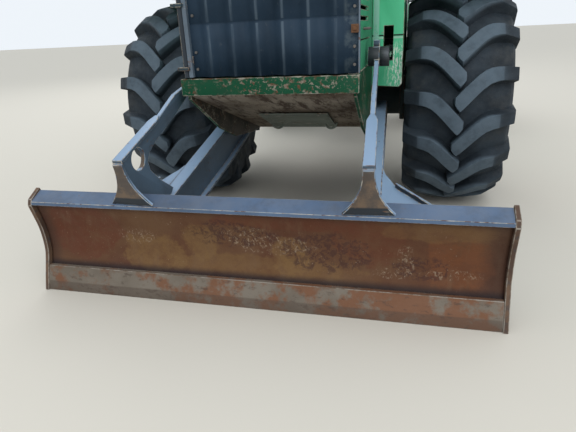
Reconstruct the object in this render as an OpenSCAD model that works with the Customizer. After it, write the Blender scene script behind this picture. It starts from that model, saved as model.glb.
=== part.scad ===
// Grapple skidder: an articulated forestry tractor with a front blade and a rear grapple.
// X points to the machine's left, Y to its rear and Z up. Lengthwise places (e) are measured
// back from the blade's cutting edge, and from_edge() sets them about the origin.

/* [Layout] */
// Distance from the cutting edge back to the origin, on the ground under the middle
edge_to_origin = 3565; // [3545:5:3585]
// Front axle, behind the cutting edge
front_axle_e = 2054; // [2044:1:2064]
// Distance between the axles
wheelbase = 3400; // [3380:5:3460]
// Articulation pin, behind the front axle
pivot_behind_axle = 1596; // [1590:1:1620]
// Distance between the middles of the tyres on an axle
track = 2162; // [2150:2:2240]

/* [Wheels] */
// Radius of the tyre over its lugs
tyre_r = 800; // [790:1:806]
// Width of the tyre
tyre_w = 714; // [690:1:724]
// Radius of the rim where the tyre sits
rim_r = 334; // [320:1:350]
// Height of a lug in the middle of the tread
lug_h = 80; // [50:1:90]
// Width of a lug
lug_w = 84; // [60:1:92]
// Lugs on each side of a tyre
lug_count = 16; // [14:1:18]

/* [Blade] */
// Width of the blade
blade_w = 2530; // [2400:10:2700]
// Thickness of the end plates
end_t = 24; // [16:1:32]
// Thickness of the moldboard
mold_t = 16; // [10:1:20]
// Depth from the end plates' edge to the moldboard
mold_set = 30; // [24:1:40]
// Height of the cutting edge strip
strip_h = 142; // [120:1:160]

/* [Blade arms] */
// Distance from the middle to an upright plate, at the cutting edge
upright_x = 615; // [608:1:622]
// Thickness of an upright plate
upright_t = 27; // [20:1:30]
// How far the uprights lean together towards the rear, in degrees
toe_in = 2.9; // [2.5:0.1:3.2]
// Width of the flange on the uprights
flange_w = 56; // [44:1:64]
// Width of an upright's flared foot
foot_w = 237; // [200:1:260]
// Hole in an upright
upright_hole_d = 120; // [80:1:130]
// Height of a push arm's pivot
push_pivot_z = 710; // [706:1:716]
// Push arm pivot, behind the cutting edge
push_pivot_e = 1830; // [1826:1:1834]
// Width of a push arm
push_w = 88; // [80:1:90]
// How far the push arms lean together towards the rear, in degrees
push_toe = 2.2; // [1.8:0.1:2.3]
// Thickness of the push arms' flanges
push_flange_t = 18; // [12:1:24]

/* [Cylinders] */
// Diameter of the blade cylinders' rods
blade_rod_d = 52; // [40:1:56]
// Outer diameter of the blade cylinders
blade_barrel_d = 96; // [80:1:100]
// Diameter of the steering cylinders' rods
steer_rod_d = 45; // [36:1:50]
// Outer diameter of the steering cylinders
steer_barrel_d = 84; // [70:1:90]
// Diameter of the boom cylinders' rods
boom_rod_d = 50; // [40:1:56]
// Outer diameter of the boom cylinders
boom_barrel_d = 92; // [80:1:96]
// Diameter of the tong cylinder's rod
tong_rod_d = 45; // [36:1:50]
// Outer diameter of the tong cylinder
tong_barrel_d = 86; // [70:1:92]

/* [Frame] */
// Distance from the middle to the front frame's outer face
frame_x = 495; // [490:1:498]
// Thickness of the frame's side plates
frame_t = 22; // [16:1:28]
// Height of the front frame's top at the nose
nose_z = 1124; // [1116:1:1130]
// Height of the nose beam's lower edge
beam_z = 1029; // [1020:1:1040]
// Plane of the nose, behind the cutting edge
nose_e = 564; // [558:1:570]
// Distance from the middle to the rear frame's outer face
rear_frame_x = 455; // [450:1:470]

/* [Hood] */
// Height of the hood's top
hood_z = 1945; // [1900:5:1960]
// Thickness of the hood's panels
hood_t = 14; // [8:1:18]
// Distance between the ridges of the grille
ridge_pitch = 139; // [125:1:150]
// Depth of the grille's ridges
ridge_h = 26; // [15:1:30]

/* [Fenders] */
// Distance from the middle to a side body's outer wall
side_body_x = 706; // [700:1:710]
// Front panel of a side body, behind the cutting edge
panel_e = 1510; // [1505:1:1540]
// Height of the panel's lower edge
panel_z = 945; // [935:1:960]
// Height of the fenders' tops above the tyres
fender_gap = 100; // [90:5:140]
// Distance from the middle to the fender's outer edge
fender_x = 1400; // [1300:5:1430]

/* [Cab] */
// Half the width of the cab
cab_x = 700; // [690:1:700]
// Front of the cab, behind the cutting edge
cab_front_e = 2520; // [2515:5:2560]
// Back of the cab, behind the cutting edge
cab_back_e = 3710; // [3680:5:3720]
// Height of the cab's floor
cab_floor_z = 1290; // [1280:5:1310]
// Height of the cab's walls at the top
cab_top_z = 2890; // [2860:5:2920]
// Thickness of the cab's walls
cab_wall = 50; // [40:1:60]
// Thickness of the glass
glass_t = 8; // [5:1:12]

/* [Grapple] */
// Height of the boom's hinge on the arch
boom_hinge_z = 2700; // [2680:5:2720]
// Length of the boom between its pins
boom_len = 1226; // [1216:1:1236]
// Slope of the parked boom, down to the rear, in degrees
boom_slope = 16.5; // [15:0.5:18]
// Outer radius of the closed tongs
tong_r = 540; // [530:2:550]
// Thickness of the tongs' plates
tong_t = 28; // [22:1:32]
// Distance from the grapple's middle to a tong's pin
tong_pin_x = 280; // [276:1:284]

/* [Hidden] */
// Clearance between a pin and its bore, and between faces that slide
pin_gap = 0.3;
side_gap = 0.5;
pivot_e = front_axle_e + pivot_behind_axle;
rear_axle_e = front_axle_e + wheelbase;
axle_z = tyre_r;
sill_z = 600;
bulkhead_t = 25;
deck_t = 16;
steer_lug_w = 110;
steer_eye_d = 96;
steer_pin_d = 44;
steer_pin_head_d = 60;
lamp_d = 110;
lamp_back_d = 80;
lamp_len = 60;
// The first lug's place round the tyre, and the block that the lugs are cut from
first_lug = 56.4;
lug_cut_r = 560;
lug_cut_h = 300;
axle_gap_r = 142;
diff_r = 236;
wheel_x = track / 2;
tread_r = tyre_r - lug_h;
fender_z = 2 * tyre_r + fender_gap;
step_gap = 46;
push_x = upright_x - push_pivot_e * tan(push_toe);
push_pin_d = 80;

// Half outline of the tyre's carcass: distance from its middle plane, radius
carcass = [
    [0.86, rim_r + pin_gap], [0.96, 430], [0.982, 540], [0.965, 610],
    [0.84, tread_r - 52], [0.42, tread_r - 12]
];
// Half outline over the lugs
lug_top = [[1, 540], [1, tyre_r - 96], [0.9, tyre_r - 76], [0.5, tyre_r - 18], [0.1, tyre_r]];

// Front frame: bulkhead behind the engine bay, and the hood's sides above the frame
bulkhead_e = 3000;
hood_side_z = 1862;
grille_x0 = -430;
grille_tube_x = -462;
grille_tube_d = 26;

// Engine doors: their lower and rear edges, and the fixed sides of the hood round them
door_low_z = 1290;
door_rear_e = 1305;
door_gap = 6;

// Rear frame: its front and rear ends, top and towing hole
rear_front_e = 4250;
rear_end_e = 5990;
rear_top_z = 1240;
rear_low_z = axle_z + 160;
tow_hole_e = 6044;
tow_hole_d = 52;

// Front edge of the blade's end plates: height, distance back
edge_profile = [
    [0, 0], [68, 21], [138, 44], [209, 66], [259, 72], [318, 71], [378, 64], [446, 47], [518, 27]
];
ledge_front = [30, 540];
ledge_back = [120, 582];
ledge_t = 20;
blade_back_e = 190;

// Upper line of a push arm in (e, z), from inside the blade's back to the pivot
push_top = [[blade_back_e - 10, 425], [1490, 777], [push_pivot_e, push_pivot_z + 94]];
push_web_t = 14;

// Cab: door openings and windows
door_e0 = cab_front_e + 110;
door_e1 = cab_back_e - 330;
door_z0 = cab_floor_z + 60;
door_z1 = cab_top_z - 90;
win_z0 = 1800;
win_z1 = cab_top_z - 150;

// Blade lift cylinder: pin on the frame and pin on the upright
lift_base = [2250, 1160];
lift_pin = [1100, 1180];
lift_x = 606;
lift_eye_w = 56;
lift_barrel_len = 640;
lift_boss_d = 117;
// The slot in the side body that the rod passes through
lift_slot_w = 62;
lift_slot_top = 1350;

// Steering cylinders: pins on the front and on the rear frame
steer_front_e = 3100;
steer_rear_e = 4100;
steer_x = 280;
steer_z = 900;
steer_eye_h = 78;
steer_barrel_len = 590;

// Boom: hinge on the arch, pin of the grapple, cylinder pins
boom_hinge = [5740, boom_hinge_z];
boom_dir = [cos(boom_slope), -sin(boom_slope)];
boom_tip = boom_hinge + boom_len * boom_dir;
boom_cyl_base = [5690, 1640];
boom_cyl_pin = boom_hinge + 350 * boom_dir;
boom_cyl_x = 345;
boom_cyl_eye_w = 60;
boom_barrel_len = 640;
boom_x = 290;
arch_x = 405;
arch_t = 28;

// Grapple: heights below the boom's tip
link_h = 300;
rotator_h = 110;
head_z = boom_tip[1] - link_h - rotator_h;
tong_pin_z = head_z - 440;
horn_x = 300;
horn_z = 160;
tong_in_r = tong_r - 66;
tong_half_y = 150;
tong_eye_w = 96;
tong_cyl_pin_d = 44;
horn = tong_pin_x + horn_x;
head_plate_y = 196;
head_plate_t = 24;
tong_hub_y = head_plate_y - 2;

$fn = 48;

machine_green = [0.16, 0.50, 0.28];
worn_black = [0.13, 0.14, 0.17];
worn_blue = [0.40, 0.45, 0.55];
rust = [0.42, 0.23, 0.14];
edge_steel = [0.38, 0.34, 0.31];
tyre_black = [0.16, 0.16, 0.17];
rim_yellow = [0.86, 0.66, 0.10];
rod_steel = [0.75, 0.76, 0.78];
glass_tint = [0.45, 0.55, 0.58];

// Shapes that the sub-parts share

module from_edge() {
    translate([0, -edge_to_origin, 0]) children();
}

// The shape and its mirror image on the other side of the machine
module both() {
    children();
    mirror([1, 0, 0]) children();
}

// The machine's left for side 1, its right for side -1
module on_side(side) {
    if (side > 0) children();
    else mirror([1, 0, 0]) children();
}

// An outline in (e, z) made into a plate from x0 to x1
module slab(x0, x1) {
    translate([x0, 0, 0]) rotate([90, 0, 90]) linear_extrude(height = x1 - x0) children();
}

// An outline in (x, z) made into a plate from e0 to e1
module wall(e0, e1) {
    translate([0, e1, 0]) rotate([90, 0, 0]) linear_extrude(height = e1 - e0) children();
}

// An outline in (x, e) made into a plate from z0 to z1
module deck(z0, z1) {
    translate([0, 0, z0]) linear_extrude(height = z1 - z0) children();
}

// A box by its lowest and highest places
module block(x, e, z) {
    translate([x[0], e[0], z[0]]) cube([x[1] - x[0], e[1] - e[0], z[1] - z[0]]);
}

// A round bar across the machine, centred on (e, z)
module cross_bar(x0, x1, at, d) {
    translate([x0, at[0], at[1]]) rotate([0, 90, 0]) cylinder(d = d, h = x1 - x0);
}

// Turns what is drawn along +Z from the origin so that it runs from a towards b, both in (e, z)
module aim(x, a, b) {
    translate([x, a[0], a[1]]) rotate([atan2(b[1] - a[1], b[0] - a[0]) - 90, 0, 0]) children();
}

// A flat bar along the line from a to b, its top face on that line
module strip_bar(x0, x1, a, b, t) {
    translate([x0, a[0], a[1]]) rotate([atan2(b[1] - a[1], b[0] - a[0]), 0, 0])
        translate([0, 0, -t]) cube([x1 - x0, norm(b - a), t]);
}

// A cylinder's barrel along +Z from its base eye, whose pin lies along X
module barrel(len, d, rod_d, eye_d, eye_w, pin_d) {
    difference() {
        union() {
            translate([-eye_w / 2, 0, 0]) rotate([0, 90, 0]) cylinder(d = eye_d, h = eye_w);
            // Neck that keeps the tube clear of the eye's bracket
            translate([-eye_w / 2 + 2, -0.4 * d, 0]) cube([eye_w - 4, 0.8 * d, eye_d / 2 + 16]);
            translate([0, 0, eye_d / 2 + 14]) cylinder(d = d, h = len - eye_d / 2 - 14 - 40);
            translate([0, 0, len - 60]) cylinder(d = d + 10, h = 60);
        }
        translate([-eye_w, 0, 0]) rotate([0, 90, 0]) cylinder(d = pin_d + 2 * pin_gap, h = 2 * eye_w);
        translate([0, 0, eye_d / 2 + 30]) cylinder(d = rod_d + 2 * pin_gap, h = len);
    }
}

// A rod along +Z whose eye is at the far end, on a pin along X
module rod(start, len, d, eye_d, eye_w) {
    translate([0, 0, start]) cylinder(d = d, h = len - start - eye_d / 2 + 8);
    translate([-eye_w / 2, 0, len]) rotate([0, 90, 0]) cylinder(d = eye_d, h = eye_w);
}

// Front frame

module front_frame() {
    color(machine_green) from_edge() {
        both() {
            difference() {
                slab(frame_x - frame_t, frame_x) polygon([
                    [nose_e + 40, nose_z], [nose_e + 40, beam_z - 24], [1014, 755], [1300, 640], [1700, 590],
                    [3050, 590], [3200, 700], [3300, 900], [3300, 1000], [3180, 1240], [panel_e + 50, 1240],
                    [panel_e + 50, nose_z]
                ]);
                cross_bar(0, frame_x + 10, [front_axle_e, axle_z], 2 * axle_gap_r);
                block(
                    [0, frame_x + 10], [front_axle_e - axle_gap_r, front_axle_e + axle_gap_r], [0, axle_z]
                );
            }
            // Pivot pin of the push arm
            cross_bar(frame_x - 1, push_x + push_w / 2 + 4, [push_pivot_e, push_pivot_z], push_pin_d);
            // Pin of the blade's lift cylinder
            cross_bar(frame_x, lift_x - lift_eye_w / 2 - side_gap, lift_base, 110);
            cross_bar(frame_x, lift_x + lift_eye_w / 2 + 12, lift_base, 50);
        }
        // Nose beam, engine bearers and bulkhead
        block([-510, 510], [nose_e, nose_e + 60], [beam_z, nose_z]);
        for (e = [700, 980, 1740])
            block([-frame_x + frame_t, frame_x - frame_t], [e, e + 60], [1080, nose_z]);
        block([-frame_x + frame_t, frame_x - frame_t], [bulkhead_e, bulkhead_e + 25], [590, 1240]);
        block([-frame_x + frame_t, frame_x - frame_t], [2500, bulkhead_e], [1222, 1240]);
        // Mounts of the cab
        both()
            for (e = [2600, 3060])
                block([frame_x - 100, frame_x], [e, e + 100], [1240, cab_floor_z]);
        // Cradles of the oscillating axle
        for (e = [1766, front_axle_e + 276])
            difference() {
                block([-frame_x + frame_t, frame_x - frame_t], [e, e + 25], [axle_z - 140, axle_z + 210]);
                translate([0, e - 5, axle_z]) rotate([-90, 0, 0]) cylinder(d = 160.6, h = 40);
            }
        // Forks of the articulation joint, with their pins
        for (z = [600, 1059])
            difference() {
                union() {
                    for (dz = [0, 101])
                        deck(z + dz, z + dz + 40) hinge_outline(bulkhead_e + 25, 300);
                    translate([0, pivot_e, z - 12]) cylinder(d = 90, h = 165);
                }
                for (side = [-1, 1])
                    deck(z - 20, z + 160) translate([side * 330, 3330]) square([160, 220], center = true);
            }
        // Brackets of the steering cylinders
        both()
            for (z = [steer_z - steer_eye_h / 2 - 20 - side_gap, steer_z + steer_eye_h / 2 + side_gap])
                deck(z, z + 20) {
                    translate([steer_x, steer_front_e]) circle(d = 110);
                    translate([steer_x - steer_lug_w / 2, bulkhead_e + bulkhead_t])
                        square([steer_lug_w, steer_front_e - bulkhead_e - bulkhead_t]);
                }
        both() translate([steer_x, steer_front_e, steer_z - steer_eye_h / 2 - 30])
            cylinder(d = 44, h = steer_eye_h + 60);
    }
}

// Outline in (x, e) of an articulation plate, from a bulkhead to the round end about the pin
module hinge_outline(from_e, half_w) {
    ahead = sign(pivot_e - from_e);
    circle_r = 125;
    translate([0, pivot_e]) circle(r = circle_r);
    polygon([
        [-half_w, from_e], [half_w, from_e], [circle_r * 0.94, pivot_e - ahead * circle_r * 0.34],
        [-circle_r * 0.94, pivot_e - ahead * circle_r * 0.34]
    ]);
}

module belly_guard() {
    color([0.36, 0.31, 0.26]) from_edge() {
        half = frame_x - frame_t - side_gap;
        strip_bar(-half, half, [nose_e + 62, beam_z - 2], [1882, 604], 12);
        block([-half, half], [2400, 2990], [596, 608]);
    }
}

module front_axle() {
    axle(front_axle_e, -100, 130, true);
}

// An axle: tube, differential, spindles and flanges; trunnions let the front one swing
module axle(e, diff_x, tube_r, trunnions) {
    color([0.20, 0.20, 0.21]) from_edge() {
        cross_bar(-700, 700, [e, axle_z], 2 * tube_r);
        both() {
            cross_bar(682, 716, [e, axle_z], 350);
            cross_bar(700, wheel_x - 90, [e, axle_z], 150);
        }
        translate([diff_x, e, axle_z]) rotate([0, 90, 0])
            rotate_extrude($fn = 64) polygon([
                [0, -190], [150, -190], [205, -120], [diff_r, -60],
                [diff_r, 60], [205, 120], [150, 190], [0, 190]
            ]);
        if (trunnions)
            translate([0, 1760, axle_z]) rotate([-90, 0, 0]) cylinder(d = 160, h = 2 * (e - 1760) + 2);
        else
            both() block([330, 440], [e - 110, e + 110], [axle_z, rear_low_z]);
    }
}

module engine() {
    color([0.30, 0.31, 0.30]) from_edge() block([-310, 310], [960, 2080], [nose_z, 1780]);
}

module cooling_pack() {
    color([0.10, 0.10, 0.11]) from_edge() block([-420, 420], [660, 800], [nose_z, 1840]);
}

// Hood, grille and engine doors

module hood() {
    side_z = hood_side_z;
    post_w = 46;
    color(machine_green) from_edge() {
        // Top panel with bevelled edges
        wall(nose_e + 24.5, cab_front_e) difference() {
            polygon(hood_outline(0, side_z));
            polygon(hood_outline(hood_t, side_z - 1));
        }
        // Nose posts
        both() block([frame_x - post_w, frame_x - 2], [nose_e + 24.5, nose_e + 54], [nose_z, side_z]);
        // Clamps that hold the grille's hinge tube
        for (z = [1170, 1500, 1790])
            difference() {
                block([-507, grille_tube_x + 24], [nose_e - 24, nose_e + 30], [z, z + 20]);
                translate([grille_tube_x, nose_e, z - 1]) cylinder(d = grille_tube_d + 2 * pin_gap, h = 22);
            }
        // Side walls below and behind the engine doors
        both() slab(frame_x - 2 - hood_t, frame_x - 2) polygon([
            [nose_e + 54, nose_z], [panel_e + 50, nose_z], [panel_e + 50, 1240], [cab_front_e, 1240],
            [cab_front_e, side_z], [door_rear_e + 10, side_z], [door_rear_e + 10, door_low_z - door_gap],
            [nose_e + 54, door_low_z - door_gap]
        ]);
        // Front wall above the grille
        wall(nose_e + 24.5, nose_e + 40) polygon(hood_outline(hood_t / 2, side_z - 6));
    }
}

// Outline in (x, z) of the hood's top, drawn in by t
function hood_outline(t, low) = [
    [-frame_x + t + 2, low], [-frame_x + t + 2, hood_z - 48 - t * 0.4],
    [-frame_x + 50 + t * 0.4, hood_z - t],
    [frame_x - 50 - t * 0.4, hood_z - t], [frame_x - t - 2, hood_z - 48 - t * 0.4], [frame_x - t - 2, low]
];

// Exhaust stack and the engine's air intake
module stacks() {
    color(worn_black) from_edge() {
        translate([-300, 1750, hood_z]) {
            cylinder(d = 190, h = 420);
            translate([0, 0, 420]) cylinder(d1 = 190, d2 = 110, h = 50);
            translate([0, 0, 470]) cylinder(d = 110, h = 300);
        }
        translate([260, 1350, hood_z]) {
            cylinder(d = 130, h = 220);
            translate([0, 0, 220]) cylinder(d1 = 130, d2 = 240, h = 40);
            translate([0, 0, 260]) cylinder(d = 240, h = 110);
        }
    }
}

module grille() {
    x0 = grille_x0;
    x1 = 512;
    z0 = nose_z + 8;
    z1 = 1856;
    seam_z = 1410;
    sheet = 6;
    count = floor((x1 - x0) / ridge_pitch);
    start = (x0 + x1) / 2 - count * ridge_pitch / 2;
    front = [
        for (i = [0:count - 1], p = [[0.04, 0], [0.16, 1], [0.84, 1], [0.96, 0]])
            [start + (i + p[0]) * ridge_pitch, nose_e + 18 - p[1] * ridge_h]
    ];
    color(worn_black) from_edge() {
        for (z = [[z0, seam_z - 6], [seam_z + 6, z1]])
            deck(z[0], z[1]) polygon(concat(
                [[x0, nose_e + 18]], front, [[x1, nose_e + 18], [x1, nose_e + 18 + sheet]],
                [for (i = [len(front) - 1:-1:0]) front[i] + [0, sheet]], [[x0, nose_e + 18 + sheet]]
            ));
        block([x0, x1], [nose_e + 12, nose_e + 18 + sheet], [seam_z - 10, seam_z + 10]);
        // Hinge tube and its eyes
        translate([grille_tube_x, nose_e, z0]) cylinder(d = grille_tube_d, h = z1 - z0);
        for (z = [z0 + 80, seam_z - 17, z1 - 130])
            block([grille_tube_x, x0 + 12], [nose_e + 4, nose_e + 18 + sheet], [z, z + 34]);
        // Latch
        block([x1 - 44, x1 - 6], [nose_e - 10, nose_e + 18], [1330, 1372]);
    }
}

module engine_door(side) {
    e0 = nose_e + 54 + door_gap;
    e1 = door_rear_e;
    z0 = door_low_z;
    z1 = hood_side_z - pin_gap;
    slots = 7;
    color(machine_green) from_edge() on_side(side) difference() {
        block([frame_x - 16, frame_x], [e0, e1], [z0, z1]);
        for (i = [0:slots - 1])
            block([frame_x - 20, frame_x + 4], [e0 + 120, e1 - 120], [z0 + 100 + i * 56, z0 + 120 + i * 56]);
    }
}

module engine_door_left() {
    engine_door(1);
}

module engine_door_right() {
    engine_door(-1);
}

// Side bodies with the fenders over the front tyres

module front_fenders() {
    back_e = cab_front_e - 2;
    skin = 12;
    color(machine_green) from_edge() both() {
        // Front panel with the slot of the lift rod
        wall(panel_e, panel_e + 20) difference() {
            polygon([
                [frame_x, panel_z + 12], [side_body_x - 24, panel_z], [side_body_x, panel_z + 24],
                [side_body_x, fender_z], [frame_x, fender_z]
            ]);
            translate([lift_x - lift_slot_w / 2, 1130]) square([lift_slot_w, lift_slot_top - 1130]);
        }
        // Outer wall, open over the axle
        slab(side_body_x - skin, side_body_x) polygon([
            [panel_e + 20, panel_z + 24], [1700, panel_z + 24], [1800, 1060], [2308, 1060], [2400, 980],
            [back_e, 980], [back_e, fender_z], [panel_e + 20, fender_z]
        ]);
        // Inner deck and back wall
        block([frame_x, side_body_x - skin], [panel_e + 20, back_e], [fender_z - skin, fender_z]);
        wall(back_e - skin, back_e) translate([frame_x + 1, 1242])
            square([side_body_x - skin - frame_x - 1, fender_z - skin - 1242]);
        // Fender over the tyre, its ends bent down
        slab(side_body_x, fender_x) polygon([
            [1436, fender_z - 46], [1446, fender_z - 54], [1500, fender_z - skin], [2480, fender_z - skin],
            [2592, fender_z - 88], [2600, fender_z - 78], [2488, fender_z], [1492, fender_z]
        ]);
        // Rim of the fender's outer edge
        slab(fender_x - skin, fender_x) polygon([
            [1446, fender_z - 72], [1500, fender_z - 40], [2480, fender_z - 40], [2592, fender_z - 115],
            [2592, fender_z - 88], [2480, fender_z - skin], [1500, fender_z - skin], [1446, fender_z - 54]
        ]);
    }
}

module steps() {
    x0 = 730;
    x1 = 1130;
    e0 = front_axle_e + tyre_r + step_gap;
    e1 = e0 + 340;
    color(worn_black) from_edge() both() {
        for (e = [e0, e1 - 16])
            wall(e, e + 16) polygon([
                [frame_x, 1020], [x1 - 40, 420], [x1, 420], [x1, 470], [x0 + 160, 1230], [frame_x, 1230]
            ]);
        for (i = [0:2])
            block(
                [x0 + 210 - i * 50, x1 - i * 96], [e0 + 16, e1 - 16],
                [450 + i * 250, 480 + i * 250]
            );
    }
}

// Cab

module cab_frame() {
    color(machine_green) from_edge() difference() {
        block([-cab_x, cab_x], [cab_front_e, cab_back_e], [cab_floor_z, cab_top_z]);
        block([-cab_x + cab_wall, cab_x - cab_wall], [cab_front_e + cab_wall, cab_back_e - cab_wall],
            [cab_floor_z + cab_wall, cab_top_z + 1]);
        // Door openings and rear side windows
        block([-cab_x - 1, cab_x + 1], [door_e0, door_e1], [door_z0, door_z1]);
        block([-cab_x - 1, cab_x + 1], [door_e1 + 70, cab_back_e - 90], [win_z0, win_z1]);
        // Windscreen and rear window
        block([-cab_x + 110, cab_x - 110], [cab_front_e - 1, cab_front_e + cab_wall + 1], [2010, win_z1]);
        block([-cab_x + 110, cab_x - 110], [cab_back_e - cab_wall - 1, cab_back_e + 1], [win_z0, win_z1]);
    }
}

module cab_roof() {
    color(machine_green) from_edge() {
        block([-cab_x - 40, cab_x + 40], [cab_front_e - 120, cab_back_e + 30], [cab_top_z, cab_top_z + 60]);
        deck(cab_top_z + 60, cab_top_z + 110) polygon([
            [-cab_x + 60, cab_front_e + 60], [cab_x - 60, cab_front_e + 60],
            [cab_x - 60, cab_back_e - 80], [-cab_x + 60, cab_back_e - 80]
        ]);
    }
}

module cab_glass() {
    color(glass_tint) from_edge() {
        wall(cab_front_e + 20, cab_front_e + 20 + glass_t)
            translate([-cab_x + 110, 2010]) square([2 * cab_x - 220, win_z1 - 2010]);
        wall(cab_back_e - 28, cab_back_e - 28 + glass_t)
            translate([-cab_x + 110, win_z0]) square([2 * cab_x - 220, win_z1 - win_z0]);
        both() block([cab_x - 28, cab_x - 28 + glass_t], [door_e1 + 70, cab_back_e - 90], [win_z0, win_z1]);
    }
}

// Steel bars outside the rear window and the rear side windows
module window_guards() {
    bar = 14;
    pitch = 90;
    color(worn_black) from_edge() {
        for (x = [-cab_x + 120:pitch:cab_x - 120])
            block([x - bar / 2, x + bar / 2], [cab_back_e, cab_back_e + bar], [win_z0 - 40, win_z1 + 40]);
        for (z = [win_z0 - 40, (win_z0 + win_z1) / 2, win_z1 + 40 - bar])
            block([-cab_x + 100, cab_x - 100], [cab_back_e, cab_back_e + bar], [z, z + bar]);
        both() {
            for (i = [0:2])
                translate([0, door_e1 + 90 + i * 60, 0])
                    block([cab_x, cab_x + bar], [0, bar], [win_z0 - 40, win_z1 + 40]);
            for (z = [win_z0 - 40, (win_z0 + win_z1) / 2, win_z1 + 40 - bar])
                block([cab_x, cab_x + bar], [door_e1 + 60, cab_back_e - 70], [z, z + bar]);
        }
    }
}

module seat() {
    floor_z = cab_floor_z + cab_wall;
    color([0.15, 0.15, 0.17]) from_edge() {
        block([-150, 150], [3150, 3420], [floor_z, floor_z + 300]);
        block([-260, 260], [3030, 3520], [floor_z + 300, floor_z + 420]);
        translate([0, 3440, floor_z + 400]) rotate([-10, 0, 0])
            translate([-240, 0, 0]) cube([480, 110, 640]);
    }
}

// Steering column and wheel, and the consoles beside the seat
module controls() {
    floor_z = cab_floor_z + cab_wall;
    color([0.12, 0.12, 0.13]) from_edge() {
        both() {
            block([290, 400], [3080, 3480], [floor_z, floor_z + 560]);
            translate([345, 3130, floor_z + 560]) cylinder(d = 36, h = 140);
        }
        block([-300, 300], [cab_front_e + cab_wall, cab_front_e + 190], [floor_z, 2000]);
        translate([0, cab_front_e + 190, 1900]) rotate([-50, 0, 0]) {
            translate([0, 0, -30]) cylinder(d = 60, h = 260);
            translate([0, 0, 228]) rotate_extrude() translate([190, 0]) circle(d = 32, $fn = 24);
            for (a = [90, 210, 330])
                rotate([0, 0, a]) translate([0, -14, 214]) cube([188, 28, 18]);
        }
    }
}

module lamps() {
    color([0.85, 0.85, 0.80]) from_edge() {
        for (x = [-560, -280, 280, 560]) {
            // Under the roof's front overhang
            translate([x, cab_front_e - 110, cab_top_z - 62]) rotate([-90, 0, 0])
                cylinder(d1 = lamp_d, d2 = lamp_back_d, h = lamp_len);
            block([x - 12, x + 12], [cab_front_e - 90, cab_front_e - 66], [cab_top_z - 40, cab_top_z]);
            // On the roof's rear edge
            translate([x, cab_back_e + 30, cab_top_z + 10]) rotate([-90, 0, 0])
                cylinder(d1 = lamp_back_d, d2 = lamp_d, h = lamp_len);
        }
    }
}

module cab_door(side) {
    color(machine_green) from_edge() on_side(side) difference() {
        block([cab_x - 42, cab_x - 2], [door_e0 + pin_gap, door_e1 - 6], [door_z0 + 6, door_z1 - 6]);
        block([cab_x - 50, cab_x + 4], [door_e0 + 80, door_e1 - 80], [win_z0 - 40, door_z1 - 80]);
    }
}

module cab_door_left() {
    cab_door(1);
}

module cab_door_right() {
    cab_door(-1);
}

module door_glass(side) {
    color(glass_tint) from_edge() on_side(side)
        block([cab_x - 26, cab_x - 26 + glass_t], [door_e0 + 80, door_e1 - 80], [win_z0 - 40, door_z1 - 80]);
}

module door_glass_left() {
    door_glass(1);
}

module door_glass_right() {
    door_glass(-1);
}

// Wheels

function across(table, side) = [for (p = table) [p[1], side * p[0] * tyre_w / 2]];
function turned(list) = [for (i = [len(list) - 1:-1:0]) list[i]];

// A lug seen from outside the tread: a bar at 45 degrees from the middle, straight over the shoulder
module lug_plan() {
    half = lug_w / 2;
    bend = tyre_w * 0.24;
    polygon([
        [-34, -118], [6, -118 - half * 0.3], [bend + half * 0.4, 60], [tyre_w / 2 + 10, 66],
        [tyre_w / 2 + 10, 66 + lug_w], [bend - half * 0.6, 62 + lug_w], [-34, -118 + lug_w]
    ]);
}

// A tyre about the X axis, through the origin; its lugs' noses point down at the front
module tyre() {
    step = 360 / lug_count;
    rotate([0, 90, 0]) rotate_extrude($fn = 72)
        polygon(concat(across(carcass, -1), turned(across(carcass, 1))));
    intersection() {
        rotate([0, 90, 0]) rotate_extrude($fn = 72)
            polygon(concat(
                [[500, -tyre_w / 2]], across(lug_top, -1), turned(across(lug_top, 1)), [[500, tyre_w / 2]]
            ));
        union() {
            for (i = [0:lug_count - 1]) {
                rotate([first_lug - i * step, 0, 0]) translate([0, 0, lug_cut_r])
                    linear_extrude(height = lug_cut_h) lug_plan();
                rotate([first_lug - (i + 0.5) * step, 0, 0]) mirror([1, 0, 0])
                    translate([0, 0, lug_cut_r]) linear_extrude(height = lug_cut_h) lug_plan();
            }
        }
    }
}

// Rim about the X axis: its barrel, its disc set towards the outside, and the hub
module rim() {
    half = 0.45 * tyre_w;
    difference() {
        rotate([0, 90, 0]) rotate_extrude($fn = 72) polygon([
            [rim_r + 26, -half - 18], [rim_r + 26, -half], [rim_r, -half + 14], [rim_r, half - 14],
            [rim_r + 26, half], [rim_r + 26, half + 18], [rim_r - 8, half + 6], [rim_r - 14, half - 24],
            [rim_r - 14, 72], [150, 72], [150, 130], [96, 140], [0, 140], [0, -60],
            [75 + pin_gap, -60], [75 + pin_gap, -250], [160, -250],
            [160, 44], [rim_r - 14, 44], [rim_r - 14, -half + 24], [rim_r - 8, -half - 6]
        ]);
        for (a = [22.5:45:360])
            rotate([a, 0, 0]) translate([20, 0, 240]) rotate([0, 90, 0]) cylinder(d = 54, h = 80);
    }
}

module wheel_place(side, e) {
    from_edge() on_side(side) translate([wheel_x, e, axle_z]) children();
}

module tyre_front_left() {
    color(tyre_black) wheel_place(1, front_axle_e) tyre();
}

module tyre_front_right() {
    color(tyre_black) wheel_place(-1, front_axle_e) tyre();
}

module tyre_rear_left() {
    color(tyre_black) wheel_place(1, rear_axle_e) tyre();
}

module tyre_rear_right() {
    color(tyre_black) wheel_place(-1, rear_axle_e) tyre();
}

module rim_front_left() {
    color(rim_yellow) wheel_place(1, front_axle_e) rim();
}

module rim_front_right() {
    color(rim_yellow) wheel_place(-1, front_axle_e) rim();
}

module rim_rear_left() {
    color(rim_yellow) wheel_place(1, rear_axle_e) rim();
}

module rim_rear_right() {
    color(rim_yellow) wheel_place(-1, rear_axle_e) rim();
}

// Blade

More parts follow.
